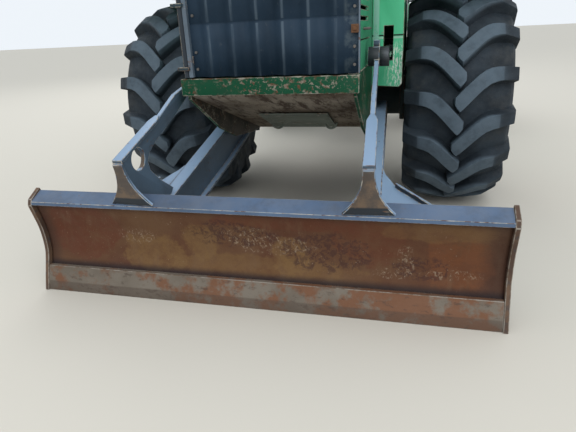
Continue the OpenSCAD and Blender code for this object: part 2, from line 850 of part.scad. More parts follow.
// Points of the end plates' front edge between two heights, moved back by set
function edge_points(low, high, set) = concat(
    [[lookup(low, edge_profile) + set, low]],
    [for (p = edge_profile) if (p[0] > low && p[0] < high) [p[1] + set, p[0]]],
    [[lookup(high, edge_profile) + set, high]]
);

// The back plate's outline from the moldboard round to the ledge, moved back by set
function back_line(set) = [
    [60, 77 - set * 0.8], [blade_back_e - 12 + set * 0.6, 138 - set * 0.8],
    [blade_back_e + 12 + set, 160 - set * 0.4],
    [blade_back_e + 12 + set, 334], [blade_back_e + set, 458], [126 + set, 574 + set * 0.7]
];

module blade() {
    half = blade_w / 2;
    color(rust) from_edge() {
        // End plates
        both() slab(half - end_t, half) polygon(concat(
            edge_points(0, 518, 0),
            [[40, 552], [120, 596], [blade_back_e, 470], [blade_back_e + 20, 300], [150, 70], [110, 0]]
        ));
        // Moldboard
        slab(-half + end_t, half - end_t) polygon(concat(
            edge_points(10, 540, mold_set), turned(edge_points(10, 540, mold_set + mold_t))
        ));
        // Ledge along the top
        slab(-half + end_t, half - end_t) polygon([
            ledge_front, ledge_back, ledge_back - [0, ledge_t], ledge_front - [0, ledge_t]
        ]);
        // Back plate, which closes the box behind the moldboard
        slab(-half + end_t, half - end_t) polygon(concat(back_line(0), turned(back_line(-12))));
        // Ribs between the moldboard and the back plate
        for (x = [-940, -upright_x, 0, upright_x, 940])
            slab(x - 10, x + 10) polygon(concat(
                turned(edge_points(100, 500, mold_set + mold_t / 2)), back_line(-6), [[84, 552]]
            ));
    }
}

module cutting_edge() {
    half = blade_w / 2 - end_t - 0.5;
    bevel_z = 38;
    color(edge_steel) from_edge() slab(-half, half) polygon(concat(
        [[lookup(0, edge_profile) + 9, 0]], edge_points(bevel_z, strip_h, 3),
        turned(edge_points(0, strip_h, mold_set - pin_gap))
    ));
}

// Upright plates with their flanges, push arms and braces

module blade_arms() {
    color(worn_blue) from_edge() both() difference() {
        union() {
            upright();
            push_arm();
            gusset();
        }
        // The blade's box, whose back they are welded to
        slab(upright_x - 2 * foot_w, blade_w / 2) polygon(concat(back_line(0), [[100, 560], [60, 300]]));
    }
}

// Outline in (e, z) of an upright: foot, corner, top edge to the pin, and the hollow rear edge
function upright_outline() = [
    [124, 578], [-16, 778], [-14, 792], [396, 940], [595, 1036], [757, 1073], [1050, 1166], [1100, 1140],
    [1060, 1104], [754, 1013], [551, 913], [334, 824], [254, 775], [222, 729], [235, 680],
    [318, 601], [440, 515],
    [300, 380], [blade_back_e - 6, 330], [blade_back_e - 18, 458], [130, 572]
];

module upright() {
    half = upright_t / 2;
    foot_low = [112, 584];
    foot_high = [-21, 781];
    corner = [-24, 800];
    flange_end = [396, 951];
    flange_len = norm(flange_end - corner);
    taper = 60;
    translate([upright_x, 0, 0]) rotate([0, 0, toe_in]) {
        difference() {
            union() {
                slab(-half, half) polygon(upright_outline());
                cross_bar(-half, half, lift_pin, lift_boss_d - 20);
            }
            cross_bar(-half - 1, half + 1, [140, 766], upright_hole_d);
        }
        // Flange along the top edge, tapered down to the plate
        flat_on([corner, flange_end], 18, 18) polygon([
            [-flange_w / 2, 0], [flange_w / 2, 0], [flange_w / 2, flange_len - taper],
            [half - 1, flange_len],
            [-half + 1, flange_len], [-flange_w / 2, flange_len - taper]
        ]);
        flat_on([foot_low, foot_high], 18, 10) foot(norm(foot_high - foot_low));
    }
    // Boss of the lift pin and its lock
    boss_x = lift_x - lift_eye_w / 2 - side_gap;
    cross_bar(boss_x - 70, boss_x, lift_pin, lift_boss_d);
    block([lift_x - 68, lift_x - 30], [1080, 1130], [1225, 1275]);
}

// An outline (x, y) made into a plate along the line in (e, z), t thick, its underside below the line by low
module flat_on(line, t, low) {
    run = line[1] - line[0];
    translate([0, line[0][0], line[0][1]]) rotate([atan2(run[1], run[0]), 0, 0]) translate([0, 0, -low])
        linear_extrude(height = t) children();
}

// The flared foot: x across and y along the upright, both edges hollow
module foot(rise) {
    steps = 8;
    half = foot_w / 2;
    neck = flange_w / 2 - 1.5;
    edge = [for (i = [0:steps]) let (t = i / steps) [neck + (half - neck) * pow(1 - t, 2.4), t * rise]];
    polygon(concat(edge, [for (p = turned(edge)) [-p[0], p[1]]]));
}

// The points of a line and of the same line lower by t
function band(line, t) = concat(line, turned([for (p = line) p - [0, t]]));

module push_arm() {
    half = push_w / 2;
    t = push_flange_t;
    low = [[blade_back_e - 10, 175], [1300, 450], [push_pivot_e, push_pivot_z - 94]];
    difference() {
        union() {
            translate([upright_x, 0, 0]) rotate([0, 0, push_toe]) {
                slab(-push_web_t / 2, push_web_t / 2)
                    polygon(concat(
                        [for (p = push_top) p - [0, t / 2]], [for (p = turned(low)) p + [0, t / 2]]
                    ));
                slab(-half, half) {
                    polygon(band(push_top, t));
                    polygon(band([for (p = low) p + [0, t]], t));
                }
            }
            cross_bar(push_x - half, push_x + half, [push_pivot_e, push_pivot_z], 190);
        }
        cross_bar(0, upright_x + push_w, [push_pivot_e, push_pivot_z], push_pin_d + 2 * pin_gap);
    }
}

// Plate that widens a push arm's upper flange outwards to the blade, with a rib along its edge
module gusset() {
    line = [push_top[0], push_top[1]];
    run = line[1] - line[0];
    stretch = norm(run) / run[0];
    inner = upright_x - 15;
    rim = [[718, 548], [1083, 180]];
    out = [rim[0][1] - rim[1][1], rim[1][0] - rim[0][0]] / norm(rim[1] - rim[0]);
    edge = [[700, 585], [687, 616], [656, 672], [638, 732]];
    flat_on(line, 10, 14) scale([1, stretch]) translate([0, -line[0][0]])
        polygon(concat([[inner, 180], rim[1], rim[0]], edge, [[inner, 760]]));
    flat_on(line, 34, 10) scale([1, stretch]) translate([0, -line[0][0]])
        polygon([rim[0] + 4 * out, rim[1] + 4 * out, rim[1] - 10 * out, rim[0] - 10 * out]);
}

module blade_barrels() {
    color(worn_black) from_edge() both() aim(lift_x, lift_base, lift_pin)
        barrel(lift_barrel_len, blade_barrel_d, blade_rod_d, 120, lift_eye_w, 50);
}

module blade_rods() {
    color(rod_steel) from_edge() both() aim(lift_x, lift_base, lift_pin)
        rod(lift_barrel_len - 340, norm(lift_pin - lift_base), blade_rod_d, lift_boss_d, lift_eye_w);
}

// Steering cylinders

module steer_place(side) {
    from_edge() on_side(side) translate([steer_x, steer_front_e, steer_z])
        rotate([-90, 0, 0]) rotate([0, 0, 90])
        children();
}

module steer_barrel_left() {
    color(worn_black) steer_place(1)
        barrel(steer_barrel_len, steer_barrel_d, steer_rod_d, steer_eye_d, steer_eye_h, steer_pin_d);
}

module steer_barrel_right() {
    color(worn_black) steer_place(-1)
        barrel(steer_barrel_len, steer_barrel_d, steer_rod_d, steer_eye_d, steer_eye_h, steer_pin_d);
}

module steer_rod() {
    rod(steer_barrel_len - 282, steer_rear_e - steer_front_e, steer_rod_d, 96, steer_eye_h);
}

module steer_rod_left() {
    color(rod_steel) steer_place(1) steer_rod();
}

module steer_rod_right() {
    color(rod_steel) steer_place(-1) steer_rod();
}

// Rear frame

module rear_frame() {
    front_e = rear_front_e;
    end_e = rear_end_e;
    top_z = rear_top_z;
    inner = rear_frame_x - frame_t;
    diff_half = diff_r + 24;
    color(machine_green) from_edge() {
        both() slab(inner, rear_frame_x) polygon([
            [front_e, sill_z], [4440, sill_z], [4800, rear_low_z], [end_e - 60, rear_low_z],
            [end_e, rear_low_z + 60], [end_e, top_z],
            [front_e - 200, top_z], [front_e - 200, 1060]
        ]);
        block([-inner, inner], [front_e, front_e + bulkhead_t], [sill_z, top_z - deck_t]);
        block([-inner, inner], [end_e - bulkhead_t, end_e], [rear_low_z + 60, top_z - deck_t]);
        block([-inner, inner], [front_e - 200, end_e], [top_z - deck_t, top_z]);
        // Lower plate, open over the differential
        deck(rear_low_z, rear_low_z + deck_t) difference() {
            translate([-inner, 4700]) square([2 * inner, end_e - 60 - 4700]);
            translate([-220, rear_axle_e - diff_half]) square([440, 2 * diff_half]);
        }
        // Towing lug
        deck(1060, 1100) difference() {
            union() {
                translate([-70, end_e - 1]) square([140, tow_hole_e - end_e + 1]);
                translate([0, tow_hole_e]) circle(r = 70 - 14);
            }
            translate([0, tow_hole_e]) circle(d = tow_hole_d);
        }
        // Plates of the articulation joint
        for (z = [641, 1100])
            difference() {
                deck(z, z + 58) hinge_outline(front_e, 340);
                translate([0, pivot_e, z - 1]) cylinder(d = 90 + 2 * pin_gap, h = 60);
            }
        // Clevises of the steering cylinders, wide enough for the eyes to shift
        both() {
            for (z = [steer_z - steer_eye_h / 2 - 20 - side_gap, steer_z + steer_eye_h / 2 + side_gap]) {
                deck(z, z + 20) {
                    translate([steer_x, steer_rear_e]) circle(d = steer_lug_w);
                    translate([steer_x - steer_lug_w / 2, steer_rear_e])
                        square([steer_lug_w, front_e - steer_rear_e]);
                }
            }
            translate([steer_x, steer_rear_e, steer_z + steer_eye_h / 2 + side_gap + 20])
                cylinder(d = steer_pin_head_d, h = 18);
        }
    }
}

module rear_axle() {
    axle(rear_axle_e, 0, 150, false);
}

// Tank behind the cab
module rear_tank() {
    color(machine_green) from_edge() {
        wall(4360, 4860) polygon([
            [-430, 1240], [430, 1240], [430, 1640], [380, 1700], [-380, 1700], [-430, 1640]
        ]);
        translate([250, 4600, 1700]) cylinder(d = 110, h = 40);
    }
}

// Arch over the rear axle, which carries the boom

module arch() {
    foot_z = rear_top_z;
    color(machine_green) from_edge() {
        both() {
            slab(arch_x, arch_x + arch_t) difference() {
                union() {
                    polygon([
                        [5020, foot_z], [5960, foot_z], [5920, 1700], [5850, boom_hinge_z - 20],
                        [5635, boom_hinge_z + 40], [5540, 2420], [5300, 1720]
                    ]);
                    translate(boom_hinge) circle(r = 120);
                }
                polygon([[5300, 1400], [5520, 1400], [5590, 2000], [5510, 1960]]);
            }
        }
        both() {
            // Hinge pins of the boom and of its cylinders
            cross_bar(boom_x - 60, arch_x + arch_t + 14, boom_hinge, 80);
            cross_bar(boom_cyl_x - boom_cyl_eye_w / 2 - 10, arch_x + arch_t + 12, boom_cyl_base, 50);
        }
        // Cross members and log guard
        block([-arch_x, arch_x], [5060, 5084], [foot_z, 1400]);
        block([-arch_x, arch_x], [5380, 5404], [1780, 2100]);
        cross_bar(-arch_x, arch_x, [5600, 2500], 90);
    }
}

module boom() {
    half = boom_x;
    beam = 130;
    ear_gap = 71;
    cyl_boss_x = boom_cyl_x - boom_cyl_eye_w / 2 - side_gap;
    color(worn_black) from_edge() difference() {
        union() {
            aim(0, boom_hinge, boom_tip) {
                boom_beam(beam);
                // Gusset plates between the hinge tube and the beam, in plan
                for (y = [-70, 46])
                    translate([0, y + 24, 0]) rotate([90, 0, 0]) linear_extrude(height = 24) polygon([
                        [-half + 20, 0], [half - 20, 0], [beam - 10, 620], [-beam + 10, 620]
                    ]);
            }
            cross_bar(-half, half, boom_hinge, 180);
            // Cross tube that the cylinders' rods push on
            cross_bar(-cyl_boss_x, cyl_boss_x, boom_cyl_pin, 100);
        }
        // Bores of the hinge pins, and the space between the ears for the grapple's link
        cross_bar(-half - 1, half + 1, boom_hinge, 80 + 2 * pin_gap);
        cross_bar(-half - 1, half + 1, boom_tip, 60 + 2 * pin_gap);
        block(
            [-ear_gap, ear_gap], [boom_tip[0] - 150, boom_tip[0] + 200],
            [boom_tip[1] - 200, boom_tip[1] + 200]
        );
    }
}

// The boom's box beam along +Z from its hinge, seen from the side: deepest over the cylinders
module boom_beam(half) {
    translate([-half, 0, 0]) rotate([0, 90, 0]) linear_extrude(height = 2 * half) {
        polygon([
            [0, -60], [-420, -150], [-boom_len, -64], [-boom_len, 64], [-640, 104], [-260, 104], [0, 60]
        ]);
        translate([-boom_len, 0]) circle(r = 78);
    }
}

module boom_barrels() {
    color(worn_black) from_edge() both() aim(boom_cyl_x, boom_cyl_base, boom_cyl_pin)
        barrel(boom_barrel_len, boom_barrel_d, boom_rod_d, 110, boom_cyl_eye_w, 50);
}

module boom_rods() {
    color(rod_steel) from_edge() both() aim(boom_cyl_x, boom_cyl_base, boom_cyl_pin)
        rod(212, norm(boom_cyl_pin - boom_cyl_base), boom_rod_d, 104, boom_cyl_eye_w);
}

// Grapple

module grapple_link() {
    color(worn_black) from_edge() translate([0, boom_tip[0], boom_tip[1]]) {
        rotate([0, 90, 0]) {
            translate([0, 0, -70]) cylinder(d = 150, h = 140);
            translate([0, 0, -150]) cylinder(d = 60, h = 300);
        }
        block([-70, 70], [-60, 60], [-link_h + 10, -40]);
        translate([0, 0, -link_h - rotator_h + 12 + pin_gap]) cylinder(d = 260, h = rotator_h);
    }
}

module grapple_head() {
    side = head_plate_y;
    color(worn_black) from_edge() translate([0, boom_tip[0], 0]) {
        translate([0, 0, head_z - 22]) cylinder(d = 300, h = 34);
        block([-180, 180], [-side - head_plate_t, side + head_plate_t], [head_z - 46, head_z - 22]);
        for (dir = [-1, 1]) {
            y0 = dir > 0 ? side : -side - head_plate_t;
            wall(y0, y0 + head_plate_t) {
                polygon([
                    [-180, head_z - 24], [180, head_z - 24], [tong_pin_x + 70, tong_pin_z + 60],
                    [tong_pin_x + 50, tong_pin_z - 50], [-tong_pin_x - 50, tong_pin_z - 50],
                    [-tong_pin_x - 70, tong_pin_z + 60]
                ]);
                for (s = [-1, 1])
                    translate([s * tong_pin_x, tong_pin_z]) circle(r = 82);
            }
        }
        // Pins of the tongs
        for (s = [-1, 1])
            translate([s * tong_pin_x, side + head_plate_t + 10, tong_pin_z]) rotate([90, 0, 0])
                cylinder(d = 60, h = 2 * (side + head_plate_t + 10));
    }
}

// The tong on the machine's left: two curved plates, the skin between them, and the horns of its cylinder
module tong() {
    centre_z = tong_pin_z - 520;
    inner_y = tong_half_y - tong_t;
    boss_y = tong_eye_w / 2 + side_gap;
    difference() {
        union() {
            for (y0 = [-tong_half_y, inner_y])
                wall(y0, y0 + tong_t) tong_plate(centre_z);
            wall(-inner_y, inner_y) difference() {
                tong_ring(centre_z, tong_in_r + 30, tong_in_r + 12);
                translate([0, tong_pin_z - 240]) square([700, 600]);
            }
            pin_along(tong_pin_x, tong_pin_z, [-tong_hub_y, tong_hub_y], 120);
            for (y = [[-tong_half_y, -boss_y], [boss_y, tong_half_y]])
                pin_along(horn, tong_pin_z + horn_z, y, 96);
        }
        pin_along(tong_pin_x, tong_pin_z, [-400, 400], 60 + 2 * pin_gap);
    }
}

// A round bar lengthwise at (x, z), from y[0] to y[1]
module pin_along(x, z, y, d) {
    translate([x, y[0], z]) rotate([-90, 0, 0]) cylinder(d = d, h = y[1] - y[0]);
}

// Half ring that tapers to the tip under the middle
module tong_ring(centre_z, out_r, in_r) {
    intersection() {
        difference() {
            translate([0, centre_z]) circle(r = out_r, $fn = 96);
            translate([0, centre_z]) circle(r = in_r, $fn = 96);
        }
        translate([4, centre_z - tong_r]) square([tong_r, 2 * tong_r]);
    }
}

module tong_plate(centre_z) {
    difference() {
        union() {
            tong_ring(centre_z, tong_r, tong_in_r);
            polygon([
                [tong_pin_x - 50, tong_pin_z - 40], [tong_pin_x + 20, tong_pin_z + 70],
                [horn - 60, tong_pin_z + horn_z + 40], [horn + 40, tong_pin_z + horn_z - 30],
                [tong_r * 0.93, tong_pin_z - 320], [tong_in_r * 0.93, tong_pin_z - 330]
            ]);
            translate([tong_pin_x, tong_pin_z]) circle(r = 80);
            translate([horn, tong_pin_z + horn_z]) circle(r = 52);
        }
        // Above the pins the ring is cut away
        polygon([
            [0, tong_pin_z - 110], [tong_pin_x - 70, tong_pin_z - 80], [tong_pin_x - 80, tong_pin_z + 100],
            [0, tong_pin_z + 100]
        ]);
    }
}

module tong_left() {
    color(worn_black) from_edge() translate([0, boom_tip[0], 0]) {
        tong();
        // Pin of the tong cylinder's barrel
        pin_along(horn, tong_pin_z + horn_z, [-60, 60], tong_cyl_pin_d);
    }
}

module tong_right() {
    color(worn_black) from_edge() translate([0, boom_tip[0], 0]) mirror([1, 0, 0]) tong();
}

module tong_barrel() {
    color(worn_black) from_edge() translate([horn, boom_tip[0], tong_pin_z + horn_z]) rotate([0, -90, 0])
        rotate([0, 0, 90]) barrel(630, tong_barrel_d, tong_rod_d, 96, tong_eye_w, tong_cyl_pin_d);
}

module tong_rod() {
    color(rod_steel) from_edge() translate([horn, boom_tip[0], tong_pin_z + horn_z]) rotate([0, -90, 0])
        rotate([0, 0, 90]) rod(544, 2 * horn, tong_rod_d, 92, tong_eye_w);
}

front_frame();
belly_guard();
front_axle();
engine();
cooling_pack();
hood();
stacks();
front_fenders();
steps();
cab_frame();
cab_roof();
cab_glass();
window_guards();
seat();
controls();
lamps();
grille();
engine_door_left();
engine_door_right();
cab_door_left();
cab_door_right();
door_glass_left();
door_glass_right();
tyre_front_left();
tyre_front_right();
tyre_rear_left();
tyre_rear_right();
rim_front_left();
rim_front_right();
rim_rear_left();
rim_rear_right();
blade();
cutting_edge();
blade_arms();
blade_barrels();
blade_rods();
steer_barrel_left();
steer_barrel_right();
steer_rod_left();
steer_rod_right();
rear_frame();
rear_axle();
rear_tank();
arch();
boom();
boom_barrels();
boom_rods();
grapple_link();
grapple_head();
tong_left();
tong_right();
tong_barrel();
tong_rod();
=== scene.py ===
"""Grapple skidder: the looks of each piece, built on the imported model's frame.

Lengths are in metres in the row's frame: X points to the machine's left, Y to its rear and Z up.
"""

import math

import bmesh
import bpy
import numpy as np
from mathutils import Matrix, Vector


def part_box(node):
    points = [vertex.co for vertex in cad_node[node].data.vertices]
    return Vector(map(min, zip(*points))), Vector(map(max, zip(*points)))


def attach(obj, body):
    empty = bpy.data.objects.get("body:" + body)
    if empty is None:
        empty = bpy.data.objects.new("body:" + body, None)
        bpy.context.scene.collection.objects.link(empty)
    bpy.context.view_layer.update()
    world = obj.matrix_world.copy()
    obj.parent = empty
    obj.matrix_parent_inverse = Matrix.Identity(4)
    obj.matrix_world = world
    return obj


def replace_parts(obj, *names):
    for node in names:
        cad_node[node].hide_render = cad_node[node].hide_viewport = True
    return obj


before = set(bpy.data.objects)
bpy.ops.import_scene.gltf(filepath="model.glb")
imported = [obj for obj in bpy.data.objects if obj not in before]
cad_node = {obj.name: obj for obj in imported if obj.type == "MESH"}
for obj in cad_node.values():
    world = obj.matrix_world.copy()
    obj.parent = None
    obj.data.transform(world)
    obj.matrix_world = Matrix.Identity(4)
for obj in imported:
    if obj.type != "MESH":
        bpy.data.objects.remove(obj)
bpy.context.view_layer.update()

# Camera: a hand-held one, standing in front of the blade a little to the machine's left. It looks down
# on the blade and across to the machine's right, slightly rolled. Focal length and width are in pixels.
PHOTO_WIDTH = 576
FOCAL = 480.81
yaw, pitch, roll = (math.radians(angle) for angle in (-15.118, 21.303, 2.951))
ahead = Vector((math.sin(yaw) * math.cos(pitch), math.cos(yaw) * math.cos(pitch), -math.sin(pitch)))
level = Vector((math.cos(yaw), -math.sin(yaw), 0))
below = ahead.cross(level)
right = math.cos(roll) * level + math.sin(roll) * below
down = math.cos(roll) * below - math.sin(roll) * level
camera = bpy.data.objects.new("camera", bpy.data.cameras.new("camera"))
bpy.context.scene.collection.objects.link(camera)
camera.data.sensor_width = 36
camera.data.lens = FOCAL * camera.data.sensor_width / PHOTO_WIDTH
camera.data.clip_end = 200
camera.matrix_world = Matrix.Translation((0.792, -5.6132, 1.3671)) @ Matrix(
    [(right[i], -down[i], -ahead[i]) for i in range(3)]).to_4x4()
bpy.context.scene.camera = camera
bpy.context.scene.view_settings.view_transform = "Standard"

# Floor: a pale, warm studio floor, as plain as poured concrete. It runs on to the horizon, so that no edge
# of it shows, and it holds the machine's shadow.
floor_mesh = bpy.data.meshes.new("floor")
floor_mesh.from_pydata([(-80, -80, 0), (80, -80, 0), (80, 80, 0), (-80, 80, 0)], [], [(0, 1, 2, 3)])
floor = bpy.data.objects.new("floor", floor_mesh)
bpy.context.scene.collection.objects.link(floor)
floor_paint = bpy.data.materials.new("floor")
floor_paint.use_nodes = True
floor_shader = floor_paint.node_tree.nodes["Principled BSDF"]
floor_shader.inputs["Base Color"].default_value = (0.63, 0.60, 0.535, 1)
floor_shader.inputs["Roughness"].default_value = 0.9
floor_mesh.materials.append(floor_paint)

# Light: an overcast sky all round, a little cool, with one large soft lamp high in front of the blade and
# another behind. The backdrop that the camera and the glass see is as pale as the sky.
world = bpy.data.worlds.new("sky")
world.use_nodes = True
sky = world.node_tree
background = sky.nodes["Background"]
background.inputs["Color"].default_value = (0.93, 0.97, 1.0, 1)
background.inputs["Strength"].default_value = 0.98
backdrop = sky.nodes.new("ShaderNodeBackground")
backdrop.inputs["Color"].default_value = (0.86, 0.91, 0.96, 1)
seen = sky.nodes.new("ShaderNodeLightPath")
either = sky.nodes.new("ShaderNodeMath")
either.operation = "MAXIMUM"
sky.links.new(seen.outputs["Is Camera Ray"], either.inputs[0])
sky.links.new(seen.outputs["Is Transmission Ray"], either.inputs[1])
chosen = sky.nodes.new("ShaderNodeMixShader")
sky.links.new(either.outputs[0], chosen.inputs[0])
sky.links.new(background.outputs[0], chosen.inputs[1])
sky.links.new(backdrop.outputs[0], chosen.inputs[2])
sky.links.new(chosen.outputs[0], sky.nodes["World Output"].inputs["Surface"])
bpy.context.scene.world = world
for name, place, energy in (("lamp_front", (3.5, -9.5, 8.5), 400), ("lamp_back", (-5, 7, 9), 320)):
    lamp = bpy.data.objects.new(name, bpy.data.lights.new(name, "AREA"))
    bpy.context.scene.collection.objects.link(lamp)
    lamp.data.energy = energy
    lamp.data.size = 8
    lamp.location = place
    lamp.rotation_euler = (Vector((0, -1, 0.8)) - Vector(place)).to_track_quat("-Z", "Y").to_euler()


# Front frame: two cut side plates, the nose beam and the forks of the articulation joint, welded from
# thick plate and painted green. The paint is scuffed to primer and steel along every edge.
class Finish:
    """A material whose colour, roughness and relief are worked out from the Object coordinates, in metres."""

    def __init__(self, name, roughness, metallic=0.0, centre=(0, 0, 0), gloss=0.3):
        self.material = bpy.data.materials.new(name)
        self.material.use_nodes = True
        self.tree = self.material.node_tree
        self.shader = self.tree.nodes["Principled BSDF"]
        self.shader.inputs["Roughness"].default_value = roughness
        self.shader.inputs["Metallic"].default_value = metallic
        self.shader.inputs["Specular IOR Level"].default_value = gloss
        place = self.node("TexCoord", {})
        moved = self.node("Mapping", {"Vector": place.outputs["Object"], "Location": [-c for c in centre]})
        self.place, self.facing = moved.outputs[0], place.outputs["Normal"]

    def feed(self, socket, value):
        """Joins another node's outcome to the socket, or sets the socket to a plain value."""
        if isinstance(value, bpy.types.NodeSocket):
            self.tree.links.new(value, socket)
        elif socket.type == "RGBA":
            socket.default_value = (*value, 1)
        else:
            socket.default_value = value

    def node(self, kind, inputs, **settings):
        """A new node of this kind with its settings, and its inputs fed by their names or numbers."""
        made = self.tree.nodes.new("ShaderNode" + kind)
        for name, setting in settings.items():
            setattr(made, name, setting)
        for key, value in inputs.items():
            self.feed(made.inputs[key], value)
        return made

    def cloud(self, scale, detail=3.0, rough=0.55, stretch=(1, 1, 1), warp=0.0):
        """Soft noise from 0 to 1; stretch scales each axis by itself, so that a pattern can run along one."""
        moved = self.node("Mapping", {"Vector": self.place, "Scale": stretch})
        made = self.node("TexNoise", {"Vector": moved.outputs[0], "Scale": scale, "Detail": detail,
                                      "Roughness": rough, "Distortion": warp})
        return made.outputs[0]

    def axis(self, number, vector=None):
        """One coordinate of the place, or of another vector."""
        return self.node("SeparateXYZ", {0: self.place if vector is None else vector}).outputs[number]

    def band(self, value, low, high, start=0.0, end=1.0):
        """start where the value is at low, end where it is at high, smooth between them and level outside."""
        inputs = dict(enumerate((value, low, high, start, end)))
        return self.node("MapRange", inputs, interpolation_type="SMOOTHSTEP").outputs[0]

    def patch(self, centre, size, ragged):
        """1 inside an ellipsoid of this centre and half size and 0 outside, its edge made ragged by noise."""
        moved = self.node("Mapping", {"Vector": self.place, "Scale": [1 / s for s in size],
                                      "Location": [-c / s for c, s in zip(centre, size)]})
        far = self.times(self.length(moved.outputs[0]), 0.5)
        far = self.plus(far, self.times(self.cloud(9, 6, 0.7), ragged))
        return self.band(far, 0.5 + ragged / 2, 0.38 + ragged / 2)

    def length(self, vector):
        return self.node("VectorMath", {0: vector}, operation="LENGTH").outputs["Value"]

    def worked_out(self, operation, *values):
        """The outcome of one operation on the values, held between 0 and 1."""
        return self.node("Math", dict(enumerate(values)), operation=operation, use_clamp=True).outputs[0]

    def times(self, first, *others):
        """The masks multiplied together: 1 only where each of them is."""
        for other in others:
            first = self.worked_out("MULTIPLY", first, other)
        return first

    def plus(self, a, b):
        return self.worked_out("ADD", a, b)

    def larger(self, a, b):
        return self.worked_out("MAXIMUM", a, b)

    def unsigned(self, value):
        return self.worked_out("ABSOLUTE", value)

    def mix(self, mask, under, over):
        """The colour under, with the colour over it where the mask is 1."""
        return self.node("Mix", {0: mask, 6: under, 7: over}, data_type="RGBA").outputs[2]

    def clouded(self, under, over, cloud, low, high, start=0.0, end=1.0):
        """The colour under, with the colour over it in clouds; cloud is what the cloud method takes."""
        return self.mix(self.band(self.cloud(*cloud), low, high, start, end), under, over)

    def done(self, colour, roughness=None, relief=None, depth=0.001):
        """Joins the parts to the shader and returns the material; depth is the relief's height in metres."""
        self.feed(self.shader.inputs["Base Color"], colour)
        if roughness is not None:
            self.feed(self.shader.inputs["Roughness"], roughness)
        if relief is not None:
            made = self.node("Bump", {"Distance": depth, "Strength": 1, "Height": relief})
            self.feed(self.shader.inputs["Normal"], made.outputs[0])
        return self.material


PRIMER = (0.33, 0.30, 0.24)
DUST = (0.30, 0.26, 0.20)
RUST = (0.115, 0.055, 0.030)


def paint(name, colour, chips, bare=PRIMER, roughness=0.42, dust=0.35, dark=0.6, layer=None, gloss=0.3):
    """Sprayed paint with cloudy fading, dust on what faces up, scratches, and chips down to the bare colour.

    chips is the share of the surface that has lost its paint, and dark the shade of its faded clouds.
    layer is a function that changes the coat by place or facing before the paint is scratched.
    """
    made = Finish(name, roughness, gloss=gloss)
    coat = made.clouded([c * dark for c in colour], colour, (1.7, 4), 0.35, 0.7)
    grime = made.times(made.band(made.cloud(7, 6, 0.7), 0.46, 0.68), 0.45)
    coat = made.mix(grime, coat, [c * 0.35 + 0.02 for c in colour])
    flat = made.band(made.axis(2, made.facing), 0.4, 0.95, 0, dust)
    coat = made.mix(made.times(flat, made.band(made.cloud(11, 5, 0.65), 0.3, 0.7)), coat, DUST)
    if layer:
        coat = layer(made, coat)
    across = made.cloud(26, 3, 0.6, (0.35, 1, 1.6))
    scratches = made.band(across, 0.70 - chips * 0.25, 0.73 - chips * 0.25)
    flakes = made.band(made.cloud(34, 6, 0.75, warp=0.4), 0.66 - chips * 0.34, 0.69 - chips * 0.34)
    patches = made.band(made.cloud(3.1, 3), 0.60 - chips * 0.5, 0.72 - chips * 0.5)
    specks = made.band(made.cloud(60, 4, 0.7), 0.80 - chips * 0.45, 0.83 - chips * 0.45)
    worn = made.larger(made.times(made.larger(scratches, flakes), patches), specks)
    stain = made.clouded(bare, RUST, (19, 4), 0.42, 0.6)
    rough = made.band(worn, 0, 1, roughness, 0.75)
    relief = made.plus(made.times(made.cloud(90, 3), 0.3), made.times(worn, 0.5))
    return made.done(made.mix(worn, coat, stain), rough, relief, 0.0012)


def mud_and_painted_shade(made, coat):
    """Mud and painted shade on the insides of the side plates, low behind the nose beam: kept near black for
    the shade under the machine.
    """
    between = made.band(made.unsigned(made.axis(0)), 0.4765, 0.4745)
    low = made.times(made.band(made.axis(2), 1.06, 1.01), made.band(made.axis(1), -2.97, -2.93))
    # Painted shade as well as mud: these colours are kept near black.
    mud = made.clouded((0.055, 0.047, 0.036), (0.020, 0.019, 0.017), (6, 5, 0.7), 0.4, 0.65)
    return made.mix(made.times(between, low), coat, mud)


green = paint("green_paint", (0.006, 0.078, 0.036), 0.36, (0.24, 0.225, 0.18), 0.55, 0.1, 0.8,
              layer=mud_and_painted_shade, gloss=0.15)
green_edge = paint("green_paint_worn_edge", (0.030, 0.115, 0.070), 0.62, (0.30, 0.28, 0.23))


def piece(name, mesh, body, slot, *finishes):
    """An object with this mesh that rides on the body and takes the finishes; slot is not used."""
    made = bpy.data.objects.new(name, mesh)
    bpy.context.scene.collection.objects.link(made)
    mesh.materials.clear()
    for finish in finishes:
        mesh.materials.append(finish)
    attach(made, body)
    return made


SHARP = math.radians(24)


def ease(made, width):
    """Rounds the corners that are sharp; the rounded faces take the second finish, the worn one."""
    mesh = made.data
    mesh.polygons.foreach_set("use_smooth", np.ones(len(mesh.polygons), bool))
    rounded = made.modifiers.new("rounded", "BEVEL")
    rounded.width = width
    rounded.segments = 2
    rounded.limit_method = "ANGLE"
    rounded.angle_limit = SHARP
    rounded.use_clamp_overlap = False
    rounded.harden_normals = True
    rounded.material = 1 if len(mesh.materials) > 1 else 0
    return made


def eased_node(node, body, slot, width, *finishes):
    """A copy of the CAD node with its doubles merged, its flat faces made whole and its corners rounded."""
    shape = bmesh.new()
    shape.from_mesh(cad_node[node].data)
    bmesh.ops.remove_doubles(shape, verts=shape.verts, dist=2e-5)
    bmesh.ops.dissolve_limit(shape, angle_limit=math.radians(0.6), verts=shape.verts, edges=shape.edges)
    mesh = bpy.data.meshes.new(node + "_plates")
    shape.to_mesh(mesh)
    shape.free()
    made = piece(node + "_plates", mesh, body, slot, *finishes)
    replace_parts(made, node)
    return ease(made, width)


eased_node("front_frame", "front", "machine_green", 0.004, green, green_edge)


